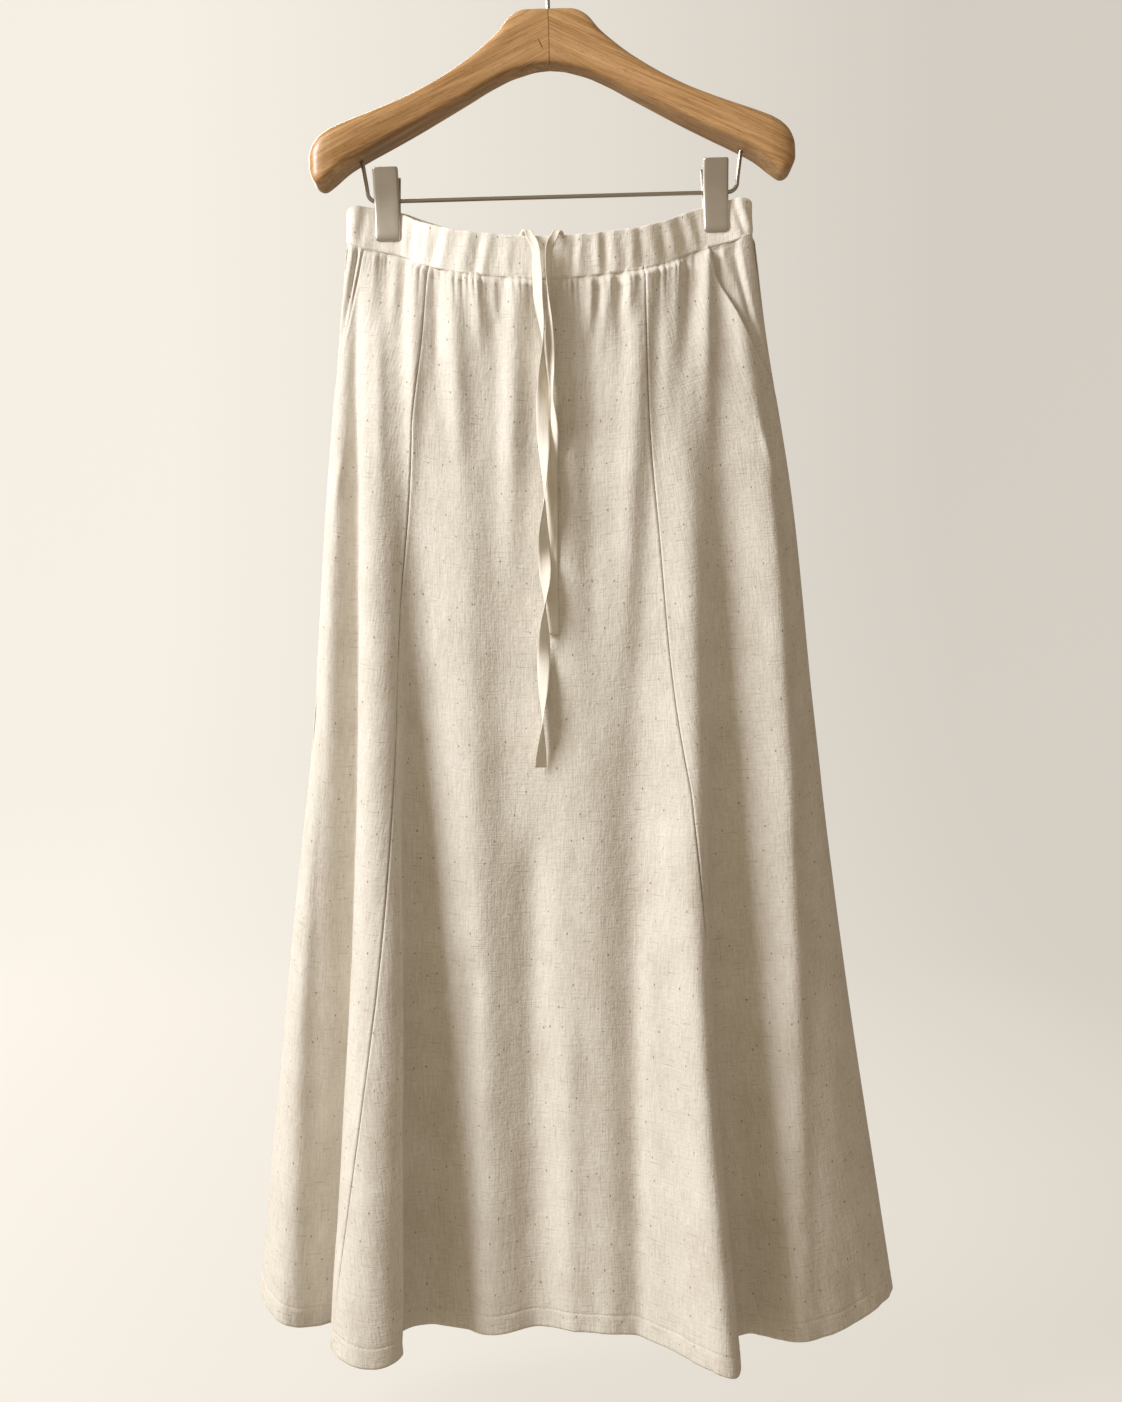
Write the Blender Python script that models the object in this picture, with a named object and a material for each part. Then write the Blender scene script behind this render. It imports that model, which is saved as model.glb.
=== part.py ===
"""Maxi skirt of linen-cotton cloth, clipped by its waistband to a wooden trouser hanger.

The origin is the seat of the hanger's hook, +Z is up and the skirt's front looks along -Y.
All sizes below are in millimetres and are turned to metres where the meshes are made.
"""
import math
from collections import namedtuple

import bmesh
import bpy
import numpy as np
from mathutils import Vector

MM = 0.001

for old in list(bpy.data.objects):
    bpy.data.objects.remove(old, do_unlink=True)

# Driving sizes of the skirt
CLOTH = 1.4                  # wall of a cloth panel
BAND_WALL = 2.4              # folded casing of the waistband
BAND_HEIGHT = 39.0
BAND_LIFT = 0.45             # lower edge of the band over the top edge of the panels
SEAM_GAP = 0.3
GATHER_PITCH = 7.8           # one ridge and one valley of the gathers
GATHER_DEPTH = 1.7
GATHER_END = 0.1             # share of the skirt's length where the gathers have faded out
FOLD_COLUMN = 15.0           # width of one facet across the large folds
PUCKER_PITCH = 20.0
PUCKER_DEPTH = 0.7
CLIP_FLAT = 0.25             # share of a gather that is left between the jaws of a clip
CLIP_FADE = 26.0             # width beside a clip over which the gathers come back
SIDE_OUT = 186.0             # the side seams' distance from the middle at the waist
SIDE_FLAT = 0.35             # share of a gather that is left at a side seam
SIDE_FADE = 20.0
FACING_TUCK = 0.55           # how far the facing goes in behind the pocket mouth, in folds
FACING_DROP = 0.262          # where the pocket bag ends, as a share of the skirt's length
FACING_ROUND = 0.6           # how far the bag narrows towards its lower edge
FACING_INSET = 2.3           # from the panel's outer face to the facing's, at the side seam
FACING_SINK = 2.8            # more than that at the bag's inner edge, below the clips
FACING_SINK_TOP = 0.4        # the same at the waist seam, where the clips press the cloth

# Driving sizes of the hanger
ROLL = math.radians(1.6)     # the hanger hangs a little low on the left
HOOK_WIRE = 4.0
HOOK_INNER = 19.0            # radius inside the hook
BAR_WIRE = 3.7
BAR_Z = -244.3
BAR_BEND = 9.0
CLIP_PLACES = {"left": -153.5, "right": 146.0}
CLIP_WIDTH = 23.0
CLIP_SWING = 7.0             # the roll carries the clips this far to the right
PLATE = 1.4
SPRING_OUTER = 4.6
FIT = 0.3                    # clearance of a wire in its hole

# Heights of the fold table, as shares of the way from the waist seam to the hem
LEVELS = np.array([0.0, 0.078, 0.24, 0.45, 0.66, 1.0])

# One row for each ridge or valley: plan position (x, y) at each level, and the heights of
# the waist seam and of the hem there. The rows run round the skirt, front first.
Fold = namedtuple("Fold", "name waist hip thigh knee calf hem waist_z hem_z")
FOLDS = [
    Fold("side_left", (-184, 0), (-190, 1), (-202, 2), (-214, 4), (-233, 5), (-263, 8), -287, -1240),
    Fold("a_ridge", (-178, -5.5), (-182, -8), (-190, -15), (-199, -23), (-213, -31), (-226, -46), -290, -1260),
    Fold("ab_valley", (-172, -6.5), (-174, -7), (-173, -8), (-173, -10), (-175, -13), (-183, -15), -292, -1263),
    Fold("b_left", (-166, -5.2), (-169, -12), (-169, -24), (-169, -36), (-173, -50), (-188, -80), -294, -1262),
    Fold("b_ridge", (-156, -3.4), (-159, -17), (-156, -33), (-152, -51), (-149, -72), (-150, -112), -295, -1271),
    Fold("b_right", (-146, -3.4), (-147, -18), (-141, -31), (-134, -44), (-128, -60), (-124, -92), -297, -1266),
    Fold("b_root", (-133.5, -3.6), (-137, -19), (-132, -27), (-129, -32), (-129, -36), (-131, -50), -300, -1265),
    Fold("bc_valley", (-121, -10), (-124, -21), (-116, -25), (-109, -26), (-104, -26), (-104, -26), -307, -1265),
    Fold("c1_ridge", (-86, -24), (-83, -28), (-75, -34), (-68, -39), (-61, -45), (-49, -54), -319, -1264),
    Fold("c1c_valley", (-47, -27), (-43, -29), (-42, -31), (-36, -35), (-27, -41), (-8, -50), -324, -1259),
    Fold("c_ridge", (7, -28), (11, -31), (30, -36), (42, -43), (49, -52), (59, -66), -326, -1259),
    Fold("cd_valley", (83, -20), (85, -26), (83, -31), (82, -38), (83, -47), (86, -62), -316, -1263),
    Fold("d_ridge", (112, -12), (112, -23), (123, -39), (126, -55), (129, -76), (149, -118), -306, -1274),
    Fold("d_right", (129, -6), (128, -21), (137, -34), (139, -49), (142, -66), (165, -106), -298, -1276),
    Fold("d_root", (142, -3.4), (141, -18), (147, -27), (145, -33), (144, -41), (164, -54), -293, -1272),
    Fold("de_valley", (153, -3.4), (152, -15), (161, -22), (162, -24), (164, -26), (181, -30), -290, -1272),
    Fold("e_ridge", (165, -3.9), (174, -12), (200, -26), (213, -35), (221, -45), (217, -60), -287, -1268),
    Fold("e_shoulder", (178, -5.5), (186, -8), (210, -15), (226, -21), (243, -30), (269, -42), -283, -1261),
    Fold("side_right", (187, 0), (197, 1), (222, 2), (243, 3), (267, 5), (316, 8), -279, -1242),
    Fold("f_shoulder", (179, 5.5), (187, 9), (209, 16), (226, 23), (244, 32), (276, 52), -282, -1256),
    Fold("fg_valley", (165, 3.8), (168, 12), (182, 16), (196, 19), (210, 21), (238, 22), -287, -1262),
    Fold("g_ridge", (150, 3.4), (150, 18), (160, 31), (170, 46), (180, 62), (198, 92), -291, -1267),
    Fold("gh_valley", (137, 3.6), (124, 19), (125, 23), (128, 27), (132, 29), (142, 30), -295, -1262),
    Fold("h_ridge", (92, 15), (88, 26), (90, 36), (92, 48), (94, 60), (98, 80), -310, -1262),
    Fold("hi_valley", (50, 18), (50, 25), (50, 29), (50, 33), (49, 35), (47, 36), -320, -1258),
    Fold("i_ridge", (14, 19), (12, 28), (8, 38), (4, 50), (0, 64), (-8, 88), -322, -1262),
    Fold("ij_valley", (-26, 18), (-30, 25), (-34, 29), (-39, 31), (-45, 33), (-56, 32), -319, -1259),
    Fold("j_ridge", (-66, 17), (-69, 26), (-74, 37), (-81, 49), (-89, 62), (-102, 84), -313, -1262),
    Fold("jk_valley", (-104, 12), (-107, 19), (-114, 23), (-123, 26), (-132, 28), (-147, 26), -305, -1260),
    Fold("k_ridge", (-135, 3.6), (-141, 17), (-150, 29), (-160, 43), (-170, 57), (-188, 80), -297, -1262),
    Fold("kl_valley", (-158, 3.6), (-161, 11), (-173, 15), (-186, 18), (-198, 20), (-217, 20), -293, -1256),
    Fold("l_shoulder", (-174, 6), (-180, 9), (-192, 15), (-205, 21), (-220, 29), (-243, 40), -289, -1250),
]
PLACE = {fold.name: index for index, fold in enumerate(FOLDS)}
TURN = len(FOLDS)
SIDE_RIGHT = PLACE["side_right"]

# Seams that cross the folds: share of the skirt's length, and place counted in folds
Crossing = namedtuple("Crossing", "down place")
PRINCESS_LEFT = [Crossing(*row) for row in (
    (0.0, 7.4), (0.078, 7.3), (0.24, 6.5), (0.45, 5.0), (0.66, 4.1), (1.0, 3.1))]
PRINCESS_RIGHT = [Crossing(*row) for row in (
    (0.0, 11.1), (0.078, 11.1), (0.24, 11.35), (0.45, 11.8), (0.66, 12.9), (1.0, 14.3))]
MOUTH_LEFT = [Crossing(*row) for row in (
    (0.0, 2.8), (0.05, 1.5), (0.075, 1.0), (0.1, 0.6), (0.125, 0.28), (0.15, 0.0))]
MOUTH_RIGHT = [Crossing(*row) for row in (
    (0.0, 14.5), (0.03, 15.1), (0.05, 15.6), (0.075, 16.15), (0.1, 16.8), (0.125, 17.45), (0.15, 18.0))]
MOUTH_END = 0.15

GATHER_ROWS = [0.0, 0.012, 0.028, 0.05, 0.075, 0.1]
FOLD_ROWS = [0.125, 0.15, 0.2, 0.262, 0.34, 0.43, 0.53, 0.64, 0.76, 0.88, 1.0]
ROWS = GATHER_ROWS + FOLD_ROWS

# Free ends of the drawstring: centre points from inside the band, over its top edge and
# down the front, with the tape's turn about its own length in degrees
TAPE_WIDTH = 11.5
TAPE_THICKNESS = 1.0
TAPE_STEP = 13.0
EDGE_STOPS = 5               # the first stops take the tape over the band's top edge
TapePoint = namedtuple("TapePoint", "x y z turn")
TAPE_LONG = [TapePoint(*row) for row in (
    (-24, -23.4, -297, 0), (-22.5, -23.7, -286.4, 0), (-20.5, -26.3, -283.6, 0),
    (-18, -30.2, -283.8, 0), (-16, -32.4, -288.6, 6), (-11.5, -35.3, -298, 38), (-9.5, -36.1, -318, 36),
    (-8, -37.9, -348, 48), (-4.8, -39.9, -372, 72), (-3.9, -40.7, -386, 90),
    (-4, -40.5, -408, 122), (-4.4, -38.3, -440, 168), (-3.8, -39.3, -466, 190),
    (-3, -42.5, -494, 232), (-2.6, -44.9, -526, 272), (-3.6, -44.1, -554, 314),
    (-2.6, -40.5, -576, 352), (-1.8, -42.5, -598, 400), (-1.8, -45.7, -620, 450),
    (-2.8, -45.1, -642, 496), (-3.2, -41.1, -664, 536), (-3.8, -42.7, -688, 572),
    (-4.2, -45.6, -712, 612), (-4.4, -46.1, -724, 630), (-5.4, -45.1, -746, 668),
    (-6.2, -43.2, -764, 696))]
TAPE_SHORT = [TapePoint(*row) for row in (
    (13.5, -23.4, -297, 0), (12, -23.7, -287, 0), (10.4, -26.3, -284.2, 0),
    (8, -30.2, -284.4, 0), (6, -32.4, -289.2, -6), (1.6, -35.8, -299, -46), (0.6, -36.9, -318, -62),
    (0.8, -38.8, -345, -88), (1.2, -38.5, -366, -118), (2.2, -38.3, -390, -128),
    (3.2, -39.3, -412, -116), (4, -40.3, -434, -96), (4.8, -38.7, -462, -140),
    (3.4, -36.8, -494, -165), (3.2, -37.2, -526, -170), (3.4, -37.5, -560, -176),
    (3.8, -37.5, -600, -180), (4.2, -38.1, -624, -184), (4.6, -39.1, -646, -186))]

# Half of the hanger's wood: distance from its middle, top, underside and depth front to back
WoodSection = namedtuple("WoodSection", "out top under depth")
WOOD = [WoodSection(*row) for row in (
    (0, -74, -126, 27), (14, -74, -127.5, 27), (25, -75, -130.5, 27.5), (36, -81.5, -134, 28),
    (46, -94, -138.5, 29), (57, -104.5, -144, 30), (70, -115.5, -151.5, 31.5),
    (86, -127, -160.5, 33.5), (104, -138.5, -170.5, 36), (125, -150, -182, 39),
    (147, -160, -193.5, 42), (169, -169, -205, 44.5), (187, -176, -216, 45.5),
    (199, -181, -226.5, 45), (208, -186.5, -233, 42), (214, -192.5, -231.5, 37),
    (218.5, -201, -224, 27), (220, -208, -217, 12))]
WOOD_SWEEP = 8.0             # the arms' ends stand this far forward
WOOD_CORNERS = 20
WOOD_MIDDLE = -2.0
HOOK_HOLE = 22.0
BAR_HOLE = 14.0
BAR_ENDS = (-177.0, 172.0)
BAR_FEET = (-171.5, 166.5)


def material(name, colour, roughness, metallic):
    """A plain finish for one kind of material; the colour is linear RGB."""
    finish = bpy.data.materials.new(name)
    finish.use_nodes = True
    shader = finish.node_tree.nodes["Principled BSDF"]
    shader.inputs["Base Color"].default_value = (*colour, 1.0)
    shader.inputs["Roughness"].default_value = roughness
    shader.inputs["Metallic"].default_value = metallic
    return finish


LINEN = material("oatmeal_linen", (0.56, 0.47, 0.36), 0.9, 0.0)
BAND_LINEN = material("waistband_linen", (0.5, 0.41, 0.31), 0.9, 0.0)
TAPE_COTTON = material("ivory_tape", (0.84, 0.78, 0.68), 0.7, 0.0)
OAK = material("lacquered_oak", (0.5, 0.31, 0.16), 0.4, 0.0)
STEEL = material("brushed_steel", (0.42, 0.42, 0.43), 0.35, 1.0)


def add_solid(name, points, faces, finish):
    """One closed solid from points in millimetres."""
    mesh = bpy.data.meshes.new(name)
    mesh.from_pydata([Vector(point) * MM for point in points], [], faces)
    mesh.validate()
    shape = bmesh.new()
    shape.from_mesh(mesh)
    bmesh.ops.recalc_face_normals(shape, faces=shape.faces)
    shape.to_mesh(mesh)
    shape.free()
    mesh.shade_smooth()
    mesh.set_sharp_from_angle(angle=math.radians(50))
    mesh.materials.append(finish)
    solid = bpy.data.objects.new(name, mesh)
    bpy.context.scene.collection.objects.link(solid)
    return solid


def spline_slopes(steps, values):
    """Slopes at the points of a closed curve that bends evenly through all of them."""
    count = len(steps)
    before = np.roll(steps, 1)
    rise = (np.roll(values, -1, axis=0) - values) / steps[:, None]
    rise_before = np.roll(rise, 1, axis=0)
    weights = np.zeros((count, count))
    for i in range(count):
        weights[i, i - 1] += steps[i]
        weights[i, i] += 2.0 * (steps[i] + before[i])
        weights[i, (i + 1) % count] += before[i]
    pull = 3.0 * (steps[:, None] * rise_before + before[:, None] * rise)
    return np.linalg.solve(weights, pull)


class ClosedCurve:
    """A smooth closed curve through its points; a place is counted in points."""

    def __init__(self, values, even=False):
        self.values = np.asarray(values, dtype=float)
        reach = np.linalg.norm(np.roll(self.values, -1, axis=0) - self.values, axis=1)
        self.steps = np.ones(len(reach)) if even else np.sqrt(reach)
        self.slopes = spline_slopes(self.steps, self.values)

    def at(self, place):
        """Position and direction of travel at a place."""
        index = int(math.floor(place)) % len(self.steps)
        after = (index + 1) % len(self.steps)
        t = place - math.floor(place)
        step = self.steps[index]
        a, b = self.values[index], self.values[after]
        m, n = self.slopes[index] * step, self.slopes[after] * step
        spot = (a * (1 + 2 * t) * (1 - t) ** 2 + m * t * (1 - t) ** 2
                + b * t * t * (3 - 2 * t) + n * t * t * (t - 1))
        travel = (a * 6 * t * (t - 1) + m * (1 - t) * (1 - 3 * t)
                  + b * 6 * t * (1 - t) + n * t * (3 * t - 2))
        return spot, travel


PLAN_TABLE = np.array([[getattr(fold, level) for fold in FOLDS]
                       for level in ("waist", "hip", "thigh", "knee", "calf", "hem")])
PLAN_SLOPES = np.gradient(PLAN_TABLE, LEVELS, axis=0)
WAIST_Z = ClosedCurve([[fold.waist_z] for fold in FOLDS], even=True)
HEM_Z = ClosedCurve([[fold.hem_z] for fold in FOLDS], even=True)
plans = {}


def plan(down):
    """The skirt's outline from above at a share of the way down to the hem."""
    key = round(down, 6)
    if key not in plans:
        index = min(int(np.searchsorted(LEVELS, down, side="right")) - 1, len(LEVELS) - 2)
        span = LEVELS[index + 1] - LEVELS[index]
        t = (down - LEVELS[index]) / span
        a, b = PLAN_TABLE[index], PLAN_TABLE[index + 1]
        m, n = PLAN_SLOPES[index] * span, PLAN_SLOPES[index + 1] * span
        plans[key] = ClosedCurve(
            a * (1 + 2 * t) * (1 - t) ** 2 + m * t * (1 - t) ** 2
            + b * t * t * (3 - 2 * t) + n * t * t * (t - 1))
    return plans[key]


def cloth_point(place, down, out=0.0, aside=0.0):
    """A point of the skirt's outer face, moved outwards and along the seam's normal."""
    spot, travel = plan(down).at(place % TURN)
    ahead = travel / np.linalg.norm(travel)
    outward = np.array([ahead[1], -ahead[0]])
    x, y = spot + outward * out + ahead * aside
    top = WAIST_Z.at(place % TURN)[0][0]
    low = HEM_Z.at(place % TURN)[0][0]
    return np.array([x, y, top - SEAM_GAP / 2 + (low - top) * down])


def columns_round(pitch, down):
    """Places for evenly spaced columns, so many to a fold, with every fold's own point."""
    places = []
    for index in range(TURN):
        reach = np.linalg.norm(plan(down).at(index + 1.0 if index + 1 < TURN else 0.0)[0]
                               - plan(down).at(float(index))[0])
        count = max(2, 2 * round(reach / pitch / 2))
        places += [index + k / count for k in range(count)]
    return places


GATHER_COLUMNS = columns_round(GATHER_PITCH / 2, 0.0)
FOLD_COLUMNS = columns_round(FOLD_COLUMN, 0.8)


def flatness(place):
    """1 where the cloth hangs free, less where the clips press it flat and at the side seams."""
    x = plan(0.0).at(place % TURN)[0][0]
    free = 1.0
    for clip_x in CLIP_PLACES.values():
        free = min(free, (abs(x - clip_x - CLIP_SWING) - CLIP_WIDTH / 2) / CLIP_FADE)
    beside_seam = SIDE_FLAT + abs(abs(x) - SIDE_OUT) / SIDE_FADE
    return max(CLIP_FLAT, min(1.0, free)) * min(1.0, beside_seam)


def gather(number, place, down):
    """How far a gather's ridge stands out, or its valley lies in, at a column."""
    if down >= GATHER_END:
        return 0.0
    fade = (1.0 - down / GATHER_END) ** 1.3 * (0.75 + 0.25 * min(1.0, down / 0.02))
    uneven = 1.0 + 0.35 * math.sin(2.3 * number) * math.cos(0.7 * number)
    side = 1.0 if number % 2 else -1.0
    return side * GATHER_DEPTH * uneven * fade * flatness(place)


def edge_place(crossings, down):
    """Where a seam lies at a height, counted in folds."""
    return float(np.interp(down, [row.down for row in crossings], [row.place for row in crossings]))


def cloth_row(start, end, down, sink=None):
    """One row of a panel from its start seam to its end seam: (place, outer, inner) points."""
    columns = GATHER_COLUMNS if down < GATHER_END else FOLD_COLUMNS
    turns = [(place + lap, number) for lap in (-TURN, 0, TURN) for number, place in enumerate(columns)]
    margin = 0.3 * (columns[1] - columns[0])
    inside = [(place, number) for place, number in turns if start + margin < place < end - margin]
    row = []
    for place, number in [(start, None)] + inside + [(end, None)]:
        out = 0.0 if number is None or sink else gather(number, place, down)
        aside = SEAM_GAP / 2 if place == start else -SEAM_GAP / 2 if place == end else 0.0
        out -= sink(place, down) if sink else 0.0
        row.append((place, cloth_point(place, down, out, aside),
                    cloth_point(place, down, out - CLOTH, aside)))
    return row


def wall(name, rows, finish):
    """A closed cloth wall from its rows, whose numbers of points may differ."""
    points = [entry[1] for row in rows for entry in row]
    half = len(points)
    points += [entry[2] for row in rows for entry in row]
    starts = np.cumsum([0] + [len(row) for row in rows])
    faces = []
    for upper, lower, first, second in zip(rows, rows[1:], starts, starts[1:]):
        i = j = 0
        while i < len(upper) - 1 or j < len(lower) - 1:
            last_upper = i == len(upper) - 1
            last_lower = j == len(lower) - 1
            if last_lower or (not last_upper and upper[i + 1][0] <= lower[j + 1][0] + 1e-9):
                face = (first + i, second + j, first + i + 1)
                i += 1
            else:
                face = (first + i, second + j, second + j + 1)
                j += 1
            faces.append(tuple(int(n) for n in face))
            faces.append(tuple(int(n) + half for n in reversed(face)))
    rim = list(range(len(rows[0])))
    rim += [int(start) + len(row) - 1 for start, row in zip(starts[1:], rows[1:])]
    rim += [int(starts[-2]) + k for k in range(len(rows[-1]) - 2, -1, -1)]
    rim += [int(start) for start in starts[-3:0:-1]]
    for here, after in zip(rim, rim[1:] + rim[:1]):
        # Both sides of a seam split their edges alike, from outside above to inside below
        if points[here][2] >= points[after][2]:
            faces += [(here, after, after + half), (here, after + half, here + half)]
        else:
            faces += [(here, after, here + half), (after, after + half, here + half)]
    return add_solid(name, points, faces, finish)


def panel(name, start_at, end_at):
    """A skirt panel between two seams, each given by a function of the height."""
    rows = [cloth_row(start_at(down), end_at(down), down) for down in ROWS]
    return wall(name, rows, LINEN)


def left_outer(down):
    """Outer edge of the left side panel: the pocket mouth, then the side seam."""
    return edge_place(MOUTH_LEFT, down) if down < MOUTH_END else 0.0


def right_outer(down):
    """Outer edge of the right side panel."""
    return edge_place(MOUTH_RIGHT, down) if down < MOUTH_END else float(SIDE_RIGHT)


panel("front_side_panel_left", left_outer, lambda down: edge_place(PRINCESS_LEFT, down))
panel("front_centre_panel", lambda down: edge_place(PRINCESS_LEFT, down),
      lambda down: edge_place(PRINCESS_RIGHT, down))
panel("front_side_panel_right", lambda down: edge_place(PRINCESS_RIGHT, down), right_outer)
panel("back_panel", lambda down: float(SIDE_RIGHT), lambda down: float(TURN))


def facing(name, side_place, mouth, inward):
    """Side piece in the pocket mouth; behind the panel it goes on as the bag's back."""
    reach = abs(mouth[0].place - side_place) + FACING_TUCK
    rows = []
    for down in [row for row in ROWS if row <= FACING_DROP]:
        round_off = max(0.0, (down - MOUTH_END) / (FACING_DROP - MOUTH_END))
        width = reach * math.sqrt(1.0 - (FACING_ROUND * round_off) ** 2)

        def sink(place, height, width=width):
            more = FACING_SINK_TOP + FACING_SINK * min(1.0, height / 0.05)
            return FACING_INSET + more * abs(place - side_place) / reach

        edges = sorted((side_place, side_place + inward * width))
        rows.append(cloth_row(*edges, down, sink))
    return wall(name, rows, LINEN)


facing("pocket_facing_left", 0.0, MOUTH_LEFT, 1)
facing("pocket_facing_right", float(SIDE_RIGHT), MOUTH_RIGHT, -1)


def band_point(place, height, out, aside):
    """A point of the waistband, at a height over the waist seam."""
    spot = cloth_point(place, 0.0, out, aside)
    return spot + np.array([0.0, 0.0, height])


def waistband(name, start, end):
    """Half of the waistband, side seam to side seam, with soft vertical puckers."""
    columns = columns_round(PUCKER_PITCH / 3, 0.0)
    turns = [place + lap for lap in (0, TURN) for place in columns]
    places = [start] + [place for place in turns if start + 0.2 < place < end - 0.2] + [end]
    length = 0.0
    lengths = [0.0]
    for here, after in zip(places, places[1:]):
        length += np.linalg.norm(band_point(after, 0, 0, 0) - band_point(here, 0, 0, 0))
        lengths.append(length)
    rows = []
    for share in (1.0, 0.66, 0.33, 0.0):
        row = []
        for place, travelled in zip(places, lengths):
            pucker = PUCKER_DEPTH * math.sin(2 * math.pi * travelled / PUCKER_PITCH + 1.5 * share)
            loose = max(0.0, (flatness(place) - 0.5) / 0.5) * math.sin(math.pi * (0.15 + 0.7 * share))
            out = pucker * loose
            aside = SEAM_GAP / 2 if place == start else -SEAM_GAP / 2 if place == end else 0.0
            height = BAND_LIFT + (BAND_HEIGHT - BAND_LIFT) * share
            row.append((place, band_point(place, height, out, aside),
                        band_point(place, height, out - BAND_WALL, aside)))
        rows.append(row)
    return wall(name, rows, BAND_LINEN)


waistband("waistband_front", 0.0, float(SIDE_RIGHT))
waistband("waistband_back", float(SIDE_RIGHT), float(TURN))


def smooth_route(stops, spacing):
    """Points along one smooth curve through the stops, about a spacing apart."""
    stops = np.array([tuple(stop) for stop in stops], dtype=float)
    reach = np.concatenate([[0.0], np.cumsum(np.linalg.norm(np.diff(stops[:, :3], axis=0), axis=1))])
    slopes = np.gradient(stops, reach, axis=0)
    count = max(2, round((reach[-1] - reach[EDGE_STOPS - 1]) / spacing))
    marks = np.concatenate([reach[:EDGE_STOPS - 1], np.linspace(reach[EDGE_STOPS - 1], reach[-1], count)])
    route = []
    for mark in marks:
        i = min(int(np.searchsorted(reach, mark, side="right")) - 1, len(stops) - 2)
        span = reach[i + 1] - reach[i]
        t = (mark - reach[i]) / span
        route.append(stops[i] * (1 + 2 * t) * (1 - t) ** 2 + slopes[i] * span * t * (1 - t) ** 2
                     + stops[i + 1] * t * t * (3 - 2 * t) + slopes[i + 1] * span * t * t * (t - 1))
    return np.array(route)


# Triangles between two rings of four corners; both wide faces split along the same diagonal
TAPE_FACETS = ((0, 4, 5), (0, 5, 1), (1, 5, 6), (1, 6, 2), (2, 6, 3), (6, 7, 3), (3, 7, 4), (3, 4, 0))


def tape(name, stops):
    """A flat drawstring end: a thin strip that turns about its own length."""
    route = smooth_route(stops, TAPE_STEP)
    points = []
    for index, (x, y, z, turn) in enumerate(route):
        ahead = route[min(index + 1, len(route) - 1), :3] - route[max(index - 1, 0), :3]
        ahead /= np.linalg.norm(ahead)
        across = np.array([1.0, 0.0, 0.0]) - ahead * ahead[0]
        across /= np.linalg.norm(across)
        face = np.cross(ahead, across)
        angle = math.radians(turn)
        wide = across * math.cos(angle) + face * math.sin(angle)
        thick = np.cross(ahead, wide)
        centre = np.array([x, y, z])
        for along, through in ((-1, -1), (1, -1), (1, 1), (-1, 1)):
            points.append(centre + wide * along * TAPE_WIDTH / 2 + thick * through * TAPE_THICKNESS / 2)
    faces = [(0, 1, 2, 3)]
    for ring in range(len(route) - 1):
        base = 4 * ring
        for a, b, c in TAPE_FACETS:
            faces.append((base + a, base + b, base + c))
    last = 4 * (len(route) - 1)
    faces.append((last + 3, last + 2, last + 1, last))
    return add_solid(name, points, faces, TAPE_COTTON)


tape("drawstring_long", TAPE_LONG)
tape("drawstring_short", TAPE_SHORT)


# The hanger is made level and then turned about the seat of its hook
hanger = bpy.data.objects.new("hanger_turn", None)
bpy.context.scene.collection.objects.link(hanger)
hanger.rotation_euler = (0.0, -ROLL, 0.0)


def wire(name, stops, diameter, finish, sides=3):
    """A round wire along a smooth line through the stops."""
    curve = bpy.data.curves.new(name, "CURVE")
    curve.dimensions = "3D"
    curve.bevel_depth = diameter / 2 * MM
    curve.bevel_resolution = sides
    curve.use_fill_caps = True
    spline = curve.splines.new("POLY")
    spline.points.add(len(stops) - 1)
    for point, stop in zip(spline.points, stops):
        point.co = (*(Vector(stop) * MM), 1.0)
    curve.materials.append(finish)
    solid = bpy.data.objects.new(name, curve)
    bpy.context.scene.collection.objects.link(solid)
    solid.parent = hanger
    return solid


def arc(centre, radius, start, end, count):
    """Points of an arc in the X-Z plane, angles in degrees."""
    return [(centre[0] + radius * math.cos(math.radians(angle)), 0.0,
             centre[1] + radius * math.sin(math.radians(angle)))
            for angle in np.linspace(start, end, count)]


def wood_ring(section, side):
    """Points round one upright section of the wood: rounded above, flatter below."""
    middle = (section.top + section.under) / 2
    half = (section.top - section.under) / 2
    forward = -WOOD_SWEEP * (section.out / WOOD[-1].out) ** 2
    ring = []
    for k in range(WOOD_CORNERS):
        angle = 2 * math.pi * k / WOOD_CORNERS
        across, up = math.cos(angle), math.sin(angle)
        power = 0.62 if up > 0 else 0.34
        y = section.depth / 2 * math.copysign(abs(across) ** power, across)
        z = half * math.copysign(abs(up) ** power, up)
        ring.append((WOOD_MIDDLE + side * section.out, forward + y, middle + z))
    return ring


def hanger_wood():
    """The shaped wooden arms, with drilled holes for the hook and for the bar's ends."""
    rings = [wood_ring(section, -1) for section in reversed(WOOD[1:])]
    rings += [wood_ring(section, 1) for section in WOOD]
    points = [point for ring in rings for point in ring]
    faces = [tuple(range(WOOD_CORNERS))]
    for ring in range(len(rings) - 1):
        base = ring * WOOD_CORNERS
        for k in range(WOOD_CORNERS):
            after = (k + 1) % WOOD_CORNERS
            faces.append((base + k, base + WOOD_CORNERS + k, base + WOOD_CORNERS + after, base + after))
    faces.append(tuple(len(points) - 1 - k for k in range(WOOD_CORNERS)))
    wood = add_solid("hanger_wood", points, faces, OAK)
    wood.parent = hanger
    return wood


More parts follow.
